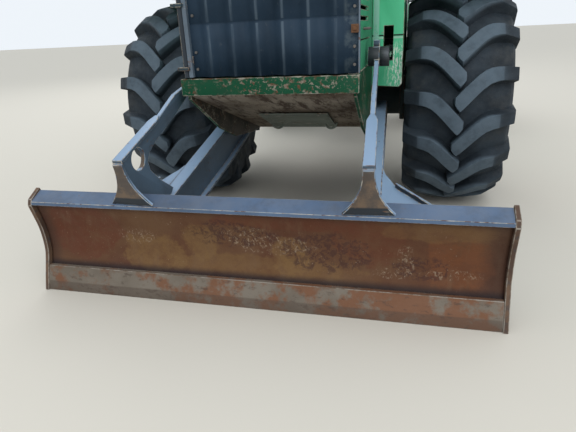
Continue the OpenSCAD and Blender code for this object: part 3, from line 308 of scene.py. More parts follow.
# Belly guard: a bent steel plate under the nose and a flat one behind the axle, which drag over stumps, so
# their paint is gone and mud has dried on them. A smaller plate with two round loops hangs above them.
def cloudy(name, roughness, tone, clouds, relief, depth, metallic=0.0, gloss=0.3):
    """A finish of one tone with clouds of other colours over it. relief is the cloud that makes it uneven."""
    made = Finish(name, roughness, metallic, gloss=gloss)
    for colour, *cloud in clouds:
        tone = made.clouded(tone, colour, *cloud)
    return made.done(tone, None, made.cloud(*relief), depth)


belly_plate = cloudy("belly_plate", 0.85, (0.15, 0.115, 0.085), [
    ((0.32, 0.275, 0.22), (3.5, 5), 0.35, 0.65),
    ((0.085, 0.060, 0.045), (9, 7, 0.75, (1.8, 0.4, 0.4)), 0.47, 0.60),
    ((0.36, 0.33, 0.27), (42, 4), 0.55, 0.7, 0, 0.6)], (55, 5, 0.65), 0.004, gloss=0.15)
eased_node("belly_guard", "front", "belly_brown", 0.003, belly_plate, belly_plate)


def grid_mesh(name, grids, round_u=False, round_v=False):
    """Quads over grids of points, shaped (how many, rows, columns, 3). A round direction meets its start."""
    count, rows, columns = grids.shape[:3]
    u, v = np.meshgrid(np.arange(rows - (not round_u)), np.arange(columns - (not round_v)), indexing="ij")
    next_u, next_v = (u + 1) % rows, (v + 1) % columns
    corners = [u * columns + v, next_u * columns + v, next_u * columns + next_v, u * columns + next_v]
    quads = np.stack(corners, -1).reshape(1, -1, 4) + np.arange(count).reshape(-1, 1, 1) * rows * columns
    mesh = bpy.data.meshes.new(name)
    mesh.from_pydata(grids.reshape(-1, 3).tolist(), [], quads.reshape(-1, 4).tolist())
    return mesh


def mended(mesh, reach, mend, smooth=True):
    """Merges the points nearer than the reach, mends the shape, and turns every face outwards."""
    shape = bmesh.new()
    shape.from_mesh(mesh)
    bmesh.ops.remove_doubles(shape, verts=shape.verts, dist=reach)
    mend(shape)
    bmesh.ops.recalc_face_normals(shape, faces=shape.faces)
    shape.to_mesh(mesh)
    shape.free()
    mesh.polygons.foreach_set("use_smooth", np.full(len(mesh.polygons), smooth))
    return mesh


def tidy(mesh):
    """Drops the faces that have closed up."""
    def drop(shape):
        bmesh.ops.dissolve_degenerate(shape, dist=1e-6, edges=shape.edges)
    return mended(mesh, 1e-5, drop)


def close_ends(mesh, smooth=True):
    """Fills each open loop of edges with one face."""
    def fill(shape):
        bmesh.ops.holes_fill(shape, edges=[edge for edge in shape.edges if edge.is_boundary])
    return mended(mesh, 1e-6, fill, smooth)


def bar_along(name, path, radius, sides=14):
    """A round bar: a circle carried along the path, square to it at each point, and closed at both ends."""
    path = np.array(path, float)
    run = np.gradient(path, axis=0)
    run /= np.linalg.norm(run, axis=1)[:, None]
    side = np.cross(run, (0.31, 0.17, 0.94))
    side /= np.linalg.norm(side, axis=1)[:, None]
    turn = np.linspace(0, 2 * np.pi, sides, endpoint=False)[None, :, None]
    around = np.cos(turn) * side[:, None] + np.sin(turn) * np.cross(run, side)[:, None]
    return close_ends(grid_mesh(name, (path[:, None] + radius * around)[None], round_v=True))


def hung_plate(corners, thick):
    """The inner guard: a plate through four corners, ruled between them, with its thickness hung below."""
    u, v = np.meshgrid(np.linspace(0, 1, 9), np.linspace(0, 1, 13), indexing="ij")
    a, b, c, d = (np.array(corner) for corner in corners)
    u, v = u[..., None], v[..., None]
    top = (a * (1 - u) + b * u) * (1 - v) + (d * (1 - u) + c * u) * v
    under = top[:, ::-1] - (0, 0, thick)
    return close_ends(grid_mesh("inner_guard", np.concatenate([top, under], 1)[None], round_v=True), False)


PLATE_CORNERS = ((-0.240, -2.420, 0.829), (0.240, -2.420, 0.829),
                 (0.212, -1.850, 0.635), (-0.300, -1.850, 0.635))
LOOP_R, LOOP_ROD_R = 0.045, 0.008
inner_coat = paint("inner_guard_paint", (0.250, 0.285, 0.240), 0.3, (0.42, 0.40, 0.33), 0.7, 0.0)
piece("inner_guard", hung_plate(PLATE_CORNERS, 0.010), "front", "belly_brown", inner_coat)
half_turn = np.linspace(0, np.pi, 17)[:, None]
for name, x, y, z in (("right", -0.222, -2.011, 0.692), ("left", 0.191, -2.002, 0.689)):
    loop = (x, y, z) + LOOP_R * np.concatenate([np.cos(half_turn), 0 * half_turn, -np.sin(half_turn)], 1)
    piece("guard_loop_" + name, bar_along("guard_loop", loop, LOOP_ROD_R), "front", "guard_black", inner_coat)

# Axles: cast steel housings with a round differential in the middle and a hub flange at each end. The front
# one hangs in cradles and the rear one is bolted up. Their dark green paint is oily and dusty.
axle_dark = paint("axle_paint", (0.035, 0.055, 0.055), 0.25, (0.16, 0.13, 0.10), 0.6, 0.6)
axle_edge = paint("axle_worn_edge", (0.05, 0.07, 0.07), 0.5, (0.16, 0.13, 0.10), 0.6, 0.6)
eased_node("front_axle", "front", "axle_dark", 0.006, axle_dark, axle_edge)
eased_node("rear_axle", "rear", "axle_dark", 0.006, axle_dark, axle_edge)


# Tyres: forestry tyres with sixteen lugs a side, moulded in one piece with the carcass. Each lug is a
# bar that runs at 45 degrees from its nose in the middle, bends, and goes straight over the shoulder.
TYRE_R, RIM_R = 0.800, 0.334
LUGS, FIRST_LUG = 16, 56.4


def turned_profile(profile, segments, centre):
    """A profile of (place along X, radius) turned about the X axis through the centre, as a round grid."""
    profile = np.array(profile, float)
    angle = np.linspace(0, 2 * np.pi, segments, endpoint=False)[:, None]
    x = np.broadcast_to(profile[:, 0], (segments, len(profile)))
    points = np.stack([x, np.sin(angle) * profile[:, 1], np.cos(angle) * profile[:, 1]], -1)
    return (points + np.array(centre))[None]


def smooth_line(points, steps):
    """Points in between on the Catmull-Rom curve through the given ones, evenly many on each stretch."""
    p = np.array(points, float)
    p = np.vstack([2 * p[0] - p[1], p, 2 * p[-1] - p[-2]])
    t = np.linspace(0, 1, steps, endpoint=False)[:, None, None]
    a, b, c, d = p[:-3], p[1:-2], p[2:-1], p[3:]
    square, cube = 2 * a - 5 * b + 4 * c - d, 3 * b - a - 3 * c + d
    curve = 0.5 * (2 * b + (c - a) * t + square * t ** 2 + cube * t ** 3)
    return np.vstack([curve.transpose(1, 0, 2).reshape(-1, p.shape[1]), p[-2]])


def tyre_carcass(side, centre):
    """Half profile from the bead over the bulging sidewall to the tread between the lugs, turned round."""
    outline = [(0.300, RIM_R + 0.002), (0.330, 0.350), (0.341, 0.385), (0.352, 0.430), (0.3560, 0.440),
               (0.3575, 0.452), (0.3560, 0.462), (0.3535, 0.480), (0.3515, 0.540), (0.3445, 0.612),
               (0.325, 0.650), (0.300, 0.668), (0.150, 0.708), (0.0, 0.716)]
    half = smooth_line(outline, 3)
    full = np.vstack([half, half[-2::-1] * (-1, 1)])
    full[:, 0] *= side
    return grid_mesh("tyre_carcass", turned_profile(full, 96, centre), round_u=True, round_v=True)


def tyre_lugs(side, centre):
    """All the lugs: a section across the lug, carried along it from the nose over the shoulder.

    A station gives the place across the tyre, the radius at the foot and at the top, and the lug's two
    edges round the tread. The section rises from the foot, with draft, to a top with eased edges.
    """
    stations = np.array([
        # across, foot radius, top radius, edge ahead, edge behind
        (-0.038, 0.712, 0.712, -0.086, -0.064), (-0.035, 0.705, 0.757, -0.092, -0.058),
        (-0.029, 0.703, 0.796, -0.104, -0.052), (-0.012, 0.702, 0.800, -0.130, -0.034),
        (0.004, 0.702, 0.800, -0.146, -0.016), (0.024, 0.702, 0.800, -0.128, 0.006),
        (0.050, 0.700, 0.798, -0.100, 0.032), (0.080, 0.699, 0.796, -0.067, 0.062),
        (0.110, 0.698, 0.793, -0.034, 0.090), (0.145, 0.694, 0.789, 0.000, 0.115),
        (0.180, 0.690, 0.784, 0.028, 0.130), (0.220, 0.684, 0.777, 0.044, 0.137),
        (0.252, 0.676, 0.770, 0.050, 0.138), (0.264, 0.672, 0.762, 0.051, 0.138),
        (0.318, 0.648, 0.728, 0.054, 0.139), (0.340, 0.630, 0.713, 0.054, 0.139),
        (0.3535, 0.612, 0.702, 0.054, 0.139), (0.3568, 0.600, 0.690, 0.054, 0.139),
        (0.3570, 0.575, 0.640, 0.056, 0.137), (0.3568, 0.556, 0.580, 0.060, 0.133),
        (0.3500, 0.545, 0.548, 0.066, 0.127)])
    half_section = [(-1.12, 0), (-1.05, 0.5), (-1.0, 0.90), (-0.975, 0.975), (-0.93, 1.0), (-0.3, 1.0)]
    section = np.array([*half_section, *((-x, z) for x, z in half_section[::-1]), (0, -0.1)])
    across, foot, top, ahead_edge, behind_edge = stations.T
    middle, half = (ahead_edge + behind_edge) / 2, (behind_edge - ahead_edge) / 2
    lug_y = middle[:, None] + half[:, None] * section[None, :, 0]
    height = np.clip(section[None, :, 1], 0, 1)
    lug_r = foot[:, None] + (top - foot)[:, None] * height
    lug_x = across[:, None] - 0.012 * (1 - height) * (across[:, None] > 0.33)
    lug_z = np.sqrt(lug_r ** 2 - lug_y ** 2)
    lugs = []
    for mirror, offset in ((1, 0.0), (-1, 0.5)):
        angle = np.radians(FIRST_LUG - (np.arange(LUGS) + offset) * 360 / LUGS)[:, None, None]
        y = lug_y * np.cos(angle) - lug_z * np.sin(angle)
        z = lug_y * np.sin(angle) + lug_z * np.cos(angle)
        lugs.append(np.stack([np.broadcast_to(mirror * side * lug_x, y.shape), y, z], -1) + np.array(centre))
    mesh = close_ends(grid_mesh("tyre_lugs", np.concatenate(lugs), round_v=True))
    mesh.set_sharp_from_angle(angle=math.radians(32))
    return mesh


def rubber(name, centre):
    """Dusty black rubber, brown with mud near the rim. The lugs' tops in the middle of the tread are pale
    blue: partly wear, partly a painted reflection of the sky.
    """
    made = Finish(name, 0.72, centre=centre)
    beside_axle = made.node("VectorMath", {0: made.place, 1: (0, 1, 1)}, operation="MULTIPLY")
    radius = made.length(beside_axle.outputs[0])
    tone = made.clouded((0.014, 0.021, 0.029), (0.029, 0.041, 0.054), (5, 5), 0.35, 0.68)
    # Painted reflection as well as wear: the lugs' tops in the middle of the tread are made pale blue, like
    # the sky on them.
    crown = made.band(made.unsigned(made.axis(0)), 0.262, 0.250, 0.35, 1)
    uneven = made.band(made.cloud(13, 5, 0.65), 0.2, 0.62, 0.5, 1)
    worn = made.times(made.band(radius, 0.745, 0.782), uneven, crown, 0.9)
    tone = made.mix(worn, tone, (0.094, 0.130, 0.166))
    mud = made.times(made.band(radius, 0.735, 0.66), made.band(made.cloud(9, 6, 0.7), 0.42, 0.66), 0.28)
    tone = made.mix(mud, tone, (0.085, 0.082, 0.072))
    tone = made.clouded(tone, (0.11, 0.125, 0.135), (70, 4, 0.7), 0.62, 0.68, 0, 0.25)
    relief = made.plus(made.times(made.cloud(38, 5, 0.7), 0.7), made.cloud(160, 2))
    return made.done(tone, made.band(made.cloud(21, 3), 0.3, 0.7, 0.62, 0.85), relief, 0.0025)


# Rims: steel wheels with eight hand holes in the disc, pressed, welded and painted yellow. Sixteen nuts hold
# each to the hub's flange, and eight cap bolts close the hub.
yellow = paint("rim_paint", (0.62, 0.36, 0.03), 0.2, (0.20, 0.13, 0.08), 0.45, 0.5)
yellow_edge = paint("rim_worn_edge", (0.55, 0.32, 0.03), 0.65, (0.20, 0.13, 0.08), 0.45, 0.5)
bolt_steel = paint("bolt_steel", (0.16, 0.15, 0.14), 0.25, (0.30, 0.24, 0.18), 0.5, 0.3)


def bolt_heads(name, places, axis, across, height):
    """Hexagon heads that stand on the places along one axis: three rings of six points each, then a cap."""
    rings = np.array([(1, 0), (1, 0.72), (0.86, 1.0)])
    turn = np.radians(np.arange(6) * 60 + 15)
    reach = across / 2 / math.cos(math.radians(30)) * rings[:, :1]
    u, v = ((1, 2), (2, 0), (0, 1))[axis]
    head = np.zeros((3, 6, 3))
    head[..., u], head[..., v] = reach * np.cos(turn), reach * np.sin(turn)
    head[..., axis] = height * rings[:, 1:]
    return close_ends(grid_mesh(name, head + np.array(places, float)[:, None, None], round_v=True), False)


def ring_of(count, radius, x, centre):
    """Places round a wheel's axle, evenly spaced, so far out from the wheel's middle."""
    turn = np.radians((np.arange(count) + 0.5) * 360 / count)
    return np.stack([np.full(count, x), radius * np.sin(turn), radius * np.cos(turn)], -1) + np.array(centre)


NUTS, NUT_CIRCLE, NUT_FACE, NUT_WIDE, NUT_HIGH = 16, 0.200, 0.072, 0.034, 0.026
CAPS, CAP_CIRCLE, CAP_FACE, CAP_WIDE, CAP_HIGH = 8, 0.066, 0.140, 0.022, 0.012
for place, side in (("front_left", 1), ("front_right", -1), ("rear_left", 1), ("rear_right", -1)):
    low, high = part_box("tyre_" + place)
    centre = ((low.x + high.x) / 2, (low.y + high.y) / 2, TYRE_R)
    wheel = "wheel_" + place
    tread = rubber("tyre_rubber_" + place, centre)
    carcass = piece("tyre_carcass_" + place, tidy(tyre_carcass(side, centre)), wheel, "tyre", tread)
    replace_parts(carcass, "tyre_" + place)
    lugs = piece("tyre_lugs_" + place, tyre_lugs(side, centre), wheel, "tyre", tread)
    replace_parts(lugs, "tyre_" + place)
    eased_node("rim_" + place, wheel, "rim_yellow", 0.004, yellow, yellow_edge)
    nuts = ring_of(NUTS, NUT_CIRCLE, side * NUT_FACE, centre)
    nuts = bolt_heads("wheel_nuts", nuts, 0, NUT_WIDE, side * NUT_HIGH)
    piece("wheel_nuts_" + place, nuts, wheel, "edge_steel", bolt_steel)
    caps = ring_of(CAPS, CAP_CIRCLE, side * CAP_FACE, centre)
    caps = bolt_heads("cap_bolts", caps, 0, CAP_WIDE, side * CAP_HIGH)
    piece("cap_bolts_" + place, caps, wheel, "edge_steel", bolt_steel)

# Engine and cooling pack: cast iron and sheet steel, greasy and dark. They hardly show behind the engine
# doors' slots, so each is one plain block bolted between the side plates.
engine_paint = paint("engine_paint", (0.06, 0.065, 0.06), 0.2, (0.14, 0.11, 0.08), 0.6, 0.5)
for node in ("engine", "cooling_pack"):
    eased_node(node, "front", "engine_grey", 0.02, engine_paint, engine_paint)


# Hood and engine doors: folded sheet steel, painted green and bolted to the side plates. Each door is hinged
# along its top edge and has a bent rod for a pull. The posts beside the grille are painted dark.
def panel_light_and_wear(made, coat):
    """The side bodies' front panels: painted light that makes their forward faces brighter all over, a pale
    strip along the inner edge, and white scratches low outside.
    """
    forward = made.band(made.axis(1, made.facing), -0.6, -0.9)
    front = made.times(forward, made.band(made.axis(1), -2.00, -2.04), made.band(made.axis(2), 1.70, 1.65))
    out = made.unsigned(made.axis(0))
    # Painted light: the forward faces of the front panels are painted brighter than the rest of the sheet.
    coat = made.mix(front, coat, (0.095, 0.56, 0.30))
    seam = made.times(made.band(made.axis(2), 1.297, 1.293), made.band(made.axis(2), 1.283, 1.287))
    lip = made.times(made.band(made.axis(2), 1.284, 1.280), made.band(made.axis(2), 1.266, 1.270))
    coat = made.mix(made.times(seam, front), coat, (0.008, 0.020, 0.014))
    coat = made.mix(made.times(lip, front), coat, (0.33, 0.62, 0.46))
    strip = made.times(made.band(out, 0.500, 0.504), made.band(out, 0.545, 0.535),
                       made.band(made.cloud(30, 5, 0.7, (1, 1, 0.4)), 0.30, 0.5))
    coat = made.mix(made.times(strip, front), coat, (0.31, 0.62, 0.50))
    low = made.times(made.band(out, 0.56, 0.66), made.band(made.axis(2), 1.27, 1.17))
    lines = made.band(made.cloud(55, 5, 0.7, (1.6, 1, 0.4), warp=0.4), 0.50, 0.54)
    return made.mix(made.times(low, lines, front), coat, (0.74, 0.82, 0.74))


sheet_green = paint("hood_paint", (0.048, 0.385, 0.190), 0.10, dust=0.4, layer=panel_light_and_wear)


def dark_posts(made, coat):
    """The nose posts beside the grille, in the guards' dark colour."""
    post = made.times(made.band(made.axis(1), -2.935, -2.945), made.band(made.axis(2), 1.862, 1.856))
    return made.mix(post, coat, (0.022, 0.040, 0.052))


hood_green = paint("hood_and_post_paint", (0.048, 0.385, 0.190), 0.10, dust=0.4, layer=dark_posts)
hood_edge = paint("hood_worn_edge", (0.050, 0.32, 0.17), 0.55, (0.30, 0.28, 0.23), layer=dark_posts)
eased_node("hood", "front", "machine_green", 0.004, hood_green, hood_edge)
PULL_Y, PULL_Z, PULL_R = -2.600, 1.345, 0.007
PULL_BOW = smooth_line([(-0.004, -0.060), (0.022, -0.058), (0.030, -0.045),
                        (0.030, 0.045), (0.022, 0.058), (-0.004, 0.060)], 4)
for side, out in (("left", 1), ("right", -1)):
    door = "engine_door_" + side
    eased_node(door, door, "machine_green", 0.003, sheet_green, green_edge)
    low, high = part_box(door)
    face = high.x if out > 0 else low.x
    pull = bar_along("door_pull", [(face + out * x, PULL_Y + y, PULL_Z) for x, y in PULL_BOW], PULL_R)
    piece("engine_door_pull_" + side, pull, door, "guard_black", bolt_steel)

# Exhaust and air intake: rolled steel tubes that stand on the hood, black and heat-stained. The exhaust
# passes down through it to the engine.
black = paint("guard_paint", (0.030, 0.042, 0.058), 0.16, (0.16, 0.13, 0.11), 0.5, 0.4)
black_edge = paint("guard_worn_edge", (0.07, 0.09, 0.11), 0.55, (0.24, 0.22, 0.20), 0.5, 0.4)
eased_node("stacks", "front", "guard_black", 0.004, black, black_edge)

# Grille: a heavy pressed sheet with rounded upright ridges, hung on a hinge tube at its right and latched
# at its left. Its navy paint is rubbed pale at its outer edge. The pale line along each ridge's crest is
# partly rubbed paint and partly a painted highlight.
SHEET_RIGHT, SHEET_LEFT, SHEET_LOW, SHEET_HIGH = -0.430, 0.512, 1.132, 1.856
SEAM_Z, SHEET_Y, SHEET_T, RIDGE_RISE = 1.410, -2.983, 0.006, 0.026
RIDGE, FIRST_CREST, CRESTS = 0.139, -0.3065, 6
grille_coat = Finish("grille_paint", 0.6, gloss=0.2)
grille_tone = grille_coat.clouded((0.008, 0.021, 0.038), (0.018, 0.038, 0.065), (2.3, 4), 0.35, 0.68)
# Painted highlight as well as rubbed paint: a pale line along the crest of each ridge.
crest = grille_coat.band(grille_coat.axis(1), SHEET_Y - RIDGE_RISE * 0.93, SHEET_Y - RIDGE_RISE)
rubbed_and_highlit = grille_coat.band(grille_coat.cloud(30, 4, 0.6, (1, 1, 0.12)), 0.35, 0.62, 0.15, 0.75)
grille_tone = grille_coat.mix(grille_coat.times(crest, rubbed_and_highlit), grille_tone, (0.085, 0.120, 0.155))
outer_strip = grille_coat.times(grille_coat.band(grille_coat.axis(0), 0.425, 0.440),
                                grille_coat.band(grille_coat.cloud(13, 6, 0.75), 0.42, 0.6), 0.8)
grille_tone = grille_coat.mix(outer_strip, grille_tone, (0.060, 0.085, 0.105))
dust_streaks = (50, 5, 0.7, (1, 1, 0.5))
grille_tone = grille_coat.clouded(grille_tone, (0.12, 0.125, 0.13), dust_streaks, 0.60, 0.72, 0, 0.25)
grille_paint = grille_coat.done(grille_tone, None, grille_coat.cloud(80, 3), 0.0008)
grille_edge = paint("grille_worn_edge", (0.16, 0.215, 0.275), 0.3, (0.25, 0.24, 0.23), 0.45, 0.2)


def ridged_sheet():
    """The sheet: a row of cosine ridges across it, carried up, set back a little along its seam."""
    x = np.linspace(SHEET_RIGHT, SHEET_LEFT, 190)
    nearest = np.clip(np.round((x - FIRST_CREST) / RIDGE), 0, CRESTS - 1)
    off = np.clip(np.abs(x - FIRST_CREST - nearest * RIDGE) / (0.46 * RIDGE), 0, 1)
    front = SHEET_Y - RIDGE_RISE * 0.5 * (1 + np.cos(np.pi * off))
    z = np.array([SHEET_LOW, SEAM_Z - 0.008, SEAM_Z - 0.005, SEAM_Z + 0.005, SEAM_Z + 0.008, SHEET_HIGH])
    setback = np.array([0, 0, 0.004, 0.004, 0, 0])
    shape = np.zeros((len(z), len(x), 3))
    shape[..., 0], shape[..., 1], shape[..., 2] = x, front + setback[:, None], z[:, None]
    back = shape[:, ::-1] + (0, SHEET_T, 0)
    return close_ends(grid_mesh("ridged_sheet", np.concatenate([shape, back], 1)[None], round_v=True))


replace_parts(piece("grille_sheet", ridged_sheet(), "grille", "guard_black", grille_paint), "grille")


def boxes(name, spans):
    """Bars and blocks given by their two far corners, each rounded later: one closed mesh of them all."""
    floor_corners = np.array([(0, 0, 0), (1, 0, 0), (1, 1, 0), (0, 1, 0)])
    corners = np.concatenate([floor_corners, floor_corners + (0, 0, 1)])
    sides = [(0, 3, 2, 1), (4, 5, 6, 7), (0, 1, 5, 4), (1, 2, 6, 5), (2, 3, 7, 6), (3, 0, 4, 7)]
    low, high = np.array(spans, float)[:, 0], np.array(spans, float)[:, 1]
    points = low[:, None] + corners[None] * (high - low)[:, None]
    mesh = bpy.data.meshes.new(name)
    mesh.from_pydata(points.reshape(-1, 3).tolist(), [],
                     [[k + 8 * i for k in side] for i in range(len(spans)) for side in sides])
    return mesh


TUBE_X, TUBE_Y, TUBE_R = -0.462, -3.001, 0.013
tube_line = [(TUBE_X, TUBE_Y, z) for z in (SHEET_LOW, SHEET_LOW + 0.002, 1.5, SHEET_HIGH - 0.002, SHEET_HIGH)]
tube = bar_along("grille_tube", tube_line, TUBE_R, 20)
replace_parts(piece("grille_hinge_tube", tube, "grille", "guard_black", black), "grille")
latch_rust = paint("latch_rust", (0.16, 0.075, 0.035), 0.2, (0.27, 0.20, 0.14), 0.7, 0.1)
blocks = (
    ("hinge_eyes", "guard_black", black, black_edge, 0.003, [
        ((TUBE_X, -2.997, 1.200), (-0.418, -2.977, 1.246)),
        ((TUBE_X, -2.997, 1.726), (-0.418, -2.977, 1.760))]),
    ("edge_flanges", "arm_blue_grey", grille_edge, grille_edge, 0.002, [
        ((-0.4485, -3.008, SHEET_LOW), (-0.424, -2.978, SHEET_HIGH)),
        ((0.504, -2.992, SHEET_LOW), (SHEET_LEFT, -2.970, SHEET_HIGH))]),
    ("latch_block", "edge_steel", latch_rust, latch_rust, 0.003, [
        ((0.468, -3.011, 1.330), (0.506, -2.985, 1.372)),
        ((0.478, -3.019, 1.342), (0.498, -3.008, 1.360))]))
for name, slot, finish, edge_finish, width, spans in blocks:
    made = piece("grille_" + name, boxes(name, spans), "grille", slot, finish, edge_finish)
    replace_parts(ease(made, width), "grille")
bolts = [(x, SHEET_Y - 0.001, z) for x in (-0.400, 0.484) for z in (1.175, 1.265, 1.455, 1.56, 1.665, 1.77)]
bolts = bolt_heads("grille_bolts", bolts, 1, 0.015, -0.008)
piece("grille_bolts", bolts, "grille", "edge_steel", bolt_steel)

# Side bodies, fenders and steps: welded sheet tanks beside the engine, with the fenders over the tyres. The
# steps hang below the cab's doors, and their plate treads have rows of studs for grip.
eased_node("front_fenders", "front", "machine_green", 0.004, sheet_green, green_edge)
eased_node("steps", "front", "guard_black", 0.003, black, black_edge)
# Each tread's inner edge, outer edge and height
TREADS = ((0.940, 1.130, 0.480), (0.890, 1.034, 0.730), (0.840, 0.938, 0.980))
BLADE_FRONT = -3.565
STEP_START, STEP_LONG = BLADE_FRONT + 2.900, 0.340
STUD_STEP, STUD_WIDE, STUD_HIGH = 0.032, 0.014, 0.004
for side, out in (("left", 1), ("right", -1)):
    studs = [(out * x, y, z) for inner, outer, z in TREADS
             for x in np.arange(inner + 0.03, outer - 0.01, STUD_STEP)
             for y in np.arange(STEP_START + 0.040, STEP_START + STEP_LONG - 0.02, STUD_STEP)]
    studs = bolt_heads("grip_studs", studs, 2, STUD_WIDE, STUD_HIGH)
    piece("step_grip_studs_" + side, studs, "front", "guard_black", black_edge)

# Cab: a welded frame with a roof against falling trees, bolted to its mounts on the front frame. Steel bars
# guard the rear windows, and each door hangs on two hinges and has a bowed grip.
eased_node("cab_frame", "front", "machine_green", 0.006, sheet_green, green_edge)
eased_node("cab_roof", "front", "machine_green", 0.008, sheet_green, green_edge)
eased_node("window_guards", "front", "guard_black", 0.002, black, black_edge)
GRIP_IN, GRIP_R, HINGE_IN, HINGE_OUT, HINGE_R = 0.055, 0.009, 0.032, 0.006, 0.008
GRIP_BOW = smooth_line([(-0.004, 1.560), (0.030, 1.563), (0.046, 1.580), (0.048, 1.640),
                        (0.046, 1.700), (0.030, 1.717), (-0.004, 1.720)], 4)
for side, out in (("left", 1), ("right", -1)):
    door = "cab_door_" + side
    eased_node(door, door, "machine_green", 0.004, sheet_green, green_edge)
    low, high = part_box(door)
    face = high.x if out > 0 else low.x
    grip = bar_along("door_grip", [(face + out * x, high.y - GRIP_IN, z) for x, z in GRIP_BOW], GRIP_R)
    piece("cab_door_grip_" + side, grip, door, "guard_black", black)
    for name, z in (("low", 1.520), ("high", 2.620)):
        x, y = face + out * HINGE_OUT, low.y + HINGE_IN
        line = [(x, y, z + step) for step in (0, 0.002, 0.060, 0.118, 0.120)]
        barrel = bar_along("hinge_barrel", line, HINGE_R)
        piece("cab_hinge_%s_%s" % (name, side), barrel, door, "guard_black", black)

# Windows: tinted safety glass, a little dusty, held in the frame and the doors by rubber.
# The panes are the CAD's, with their edges eased.
pane = Finish("window_glass", 0.05)
pane.shader.inputs["Transmission Weight"].default_value = 0.9
pane.shader.inputs["IOR"].default_value = 1.45
tint = pane.clouded((0.55, 0.66, 0.66), (0.42, 0.48, 0.46), (4, 5), 0.4, 0.75)
window_glass = pane.done(tint, pane.band(pane.cloud(6, 5), 0.35, 0.8, 0.03, 0.22))
eased_node("cab_glass", "front", "glass", 0.001, window_glass)
for side in ("left", "right"):
    eased_node("door_glass_" + side, "cab_door_" + side, "glass", 0.001, window_glass)

# Driver's place: consoles and steering wheel of moulded plastic, and a sprung seat bolted to the floor. Its
# two pads are foam under fabric, on a pleated bellows.
console_plastic = cloudy("console_plastic", 0.6, (0.030, 0.031, 0.034), [
    ((0.10, 0.09, 0.075), (12, 5), 0.4, 0.7, 0, 0.5)], (300, 2), 0.0006)
eased_node("controls", "front", "console_black", 0.006, console_plastic, console_plastic)


def squared(value, power):
    """A sine or cosine raised to the power with its sign kept: a small power squares a round shape."""
    return np.sign(value) * np.abs(value) ** power


PAD_POWER, SKIRT_POWER = 0.28, 0.3
PAD_GRAIN, PAD_PRESSURE, PAD_STEPS, PAD_SWELL = 0.009, 4, 20, 0.010


def pillow(name, half, centre, tilt):
    """A crowned pad: a superellipsoid of two angles, leant back by the tilt about the X axis."""
    rise = np.linspace(-np.pi / 2, np.pi / 2, 40)
    turn = np.linspace(-np.pi, np.pi, 80, endpoint=False)
    u, v = np.meshgrid(rise, turn, indexing="ij")
    reach, z = squared(np.cos(u), PAD_POWER), squared(np.sin(u), PAD_POWER)
    x, y = reach * squared(np.cos(v), PAD_POWER), reach * squared(np.sin(v), PAD_POWER)
    lean = np.array([(1, 0, 0), (0, math.cos(tilt), -math.sin(tilt)), (0, math.sin(tilt), math.cos(tilt))])
    points = np.stack([x, y, z], -1) * half @ lean.T + np.array(centre)
    return tidy(grid_mesh(name, points[None], round_v=True))


def blown_up(made):
    """The pad swells as cloth under pressure, no point further than PAD_SWELL, and keeps that shape."""
    fine = made.modifiers.new("fine", "REMESH")
    fine.voxel_size = PAD_GRAIN
    before = bpy.data.meshes.new_from_object(made.evaluated_get(bpy.context.evaluated_depsgraph_get()))
    made.modifiers.remove(fine)
    materials = list(made.data.materials)
    made.data = before
    rest = np.empty((len(before.vertices), 3))
    before.vertices.foreach_get("co", rest.ravel())
    cloth = made.modifiers.new("cloth", "CLOTH")
    cloth.settings.use_pressure = True
    cloth.settings.uniform_pressure_force = PAD_PRESSURE
    cloth.settings.effector_weights.gravity = 0
    for step in range(PAD_STEPS):
        bpy.context.scene.frame_set(step + 1)
    swollen = bpy.data.meshes.new_from_object(made.evaluated_get(bpy.context.evaluated_depsgraph_get()))
    made.modifiers.remove(cloth)
    moved = np.empty((len(swollen.vertices), 3))
    swollen.vertices.foreach_get("co", moved.ravel())
    moved -= rest
    far = np.linalg.norm(moved, axis=1)[:, None]
    moved *= np.minimum(1, PAD_SWELL / np.maximum(far, 1e-9))
    swollen.vertices.foreach_set("co", (rest + moved).ravel())
    swollen.polygons.foreach_set("use_smooth", np.ones(len(swollen.polygons), bool))
    made.data = swollen
    made.data.materials.clear()
    for material in materials:
        made.data.materials.append(material)
    smoother = made.modifiers.new("smoother", "SUBSURF")
    smoother.levels = smoother.render_levels = 1
    bpy.context.scene.frame_set(1)
    return made


BELLOWS_Y = -0.280


def bellows(half_x, half_y, low, high, folds, depth):
    """The seat's pleated skirt: a rounded rectangle carried up, in and out once at each fold."""
    turn = np.linspace(0, 2 * np.pi, 64, endpoint=False)
    z = np.linspace(0, 1, folds * 8 + 1)[:, None]
    draw = depth * (0.5 + 0.5 * np.cos(2 * np.pi * folds * z))
    shape = np.zeros((len(z), len(turn), 3))
    shape[..., 0] = (half_x - draw) * squared(np.cos(turn), SKIRT_POWER)
    shape[..., 1] = (half_y - draw) * squared(np.sin(turn), SKIRT_POWER) + BELLOWS_Y
    shape[..., 2] = low + (high - low) * z
    return close_ends(grid_mesh("bellows", shape[None], round_v=True))


seat_fabric = cloudy("seat_fabric", 0.85, (0.035, 0.036, 0.040), [
    ((0.085, 0.080, 0.070), (9, 5), 0.4, 0.7)], (420, 2), 0.0006)
for name, half, centre, tilt in (("seat_cushion", (0.248, 0.233, 0.050), (0, -0.290, 1.700), 0),
                                 ("seat_back", (0.228, 0.045, 0.310), (0, -0.015, 2.046), math.radians(-10))):
    pad = blown_up(piece(name, pillow(name, half, centre, tilt), "front", "seat_black", seat_fabric))
    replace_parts(pad, "seat")
skirt = bellows(0.150, 0.135, 1.342, 1.652, 6, 0.014)
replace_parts(piece("seat_bellows", skirt, "front", "seat_black", console_plastic), "seat")

# Lamps: round work lamps, four bolted under the roof's front edge and four on its rear edge. Each is a
# pressed steel shell, closed by a domed lens.
lamp_shell = paint("lamp_shell", (0.45, 0.45, 0.42), 0.1, dust=0.2)
eased_node("lamps", "front", "lamp", 0.003, lamp_shell, lamp_shell)
lamp_lens = cloudy("lamp_lens", 0.12, (0.78, 0.80, 0.80), [
    ((0.60, 0.62, 0.62), (40, 3), 0.45, 0.6)], (120, 1, 0.55, (1, 0.1, 1)), 0.0006)
LENS_R = 0.047


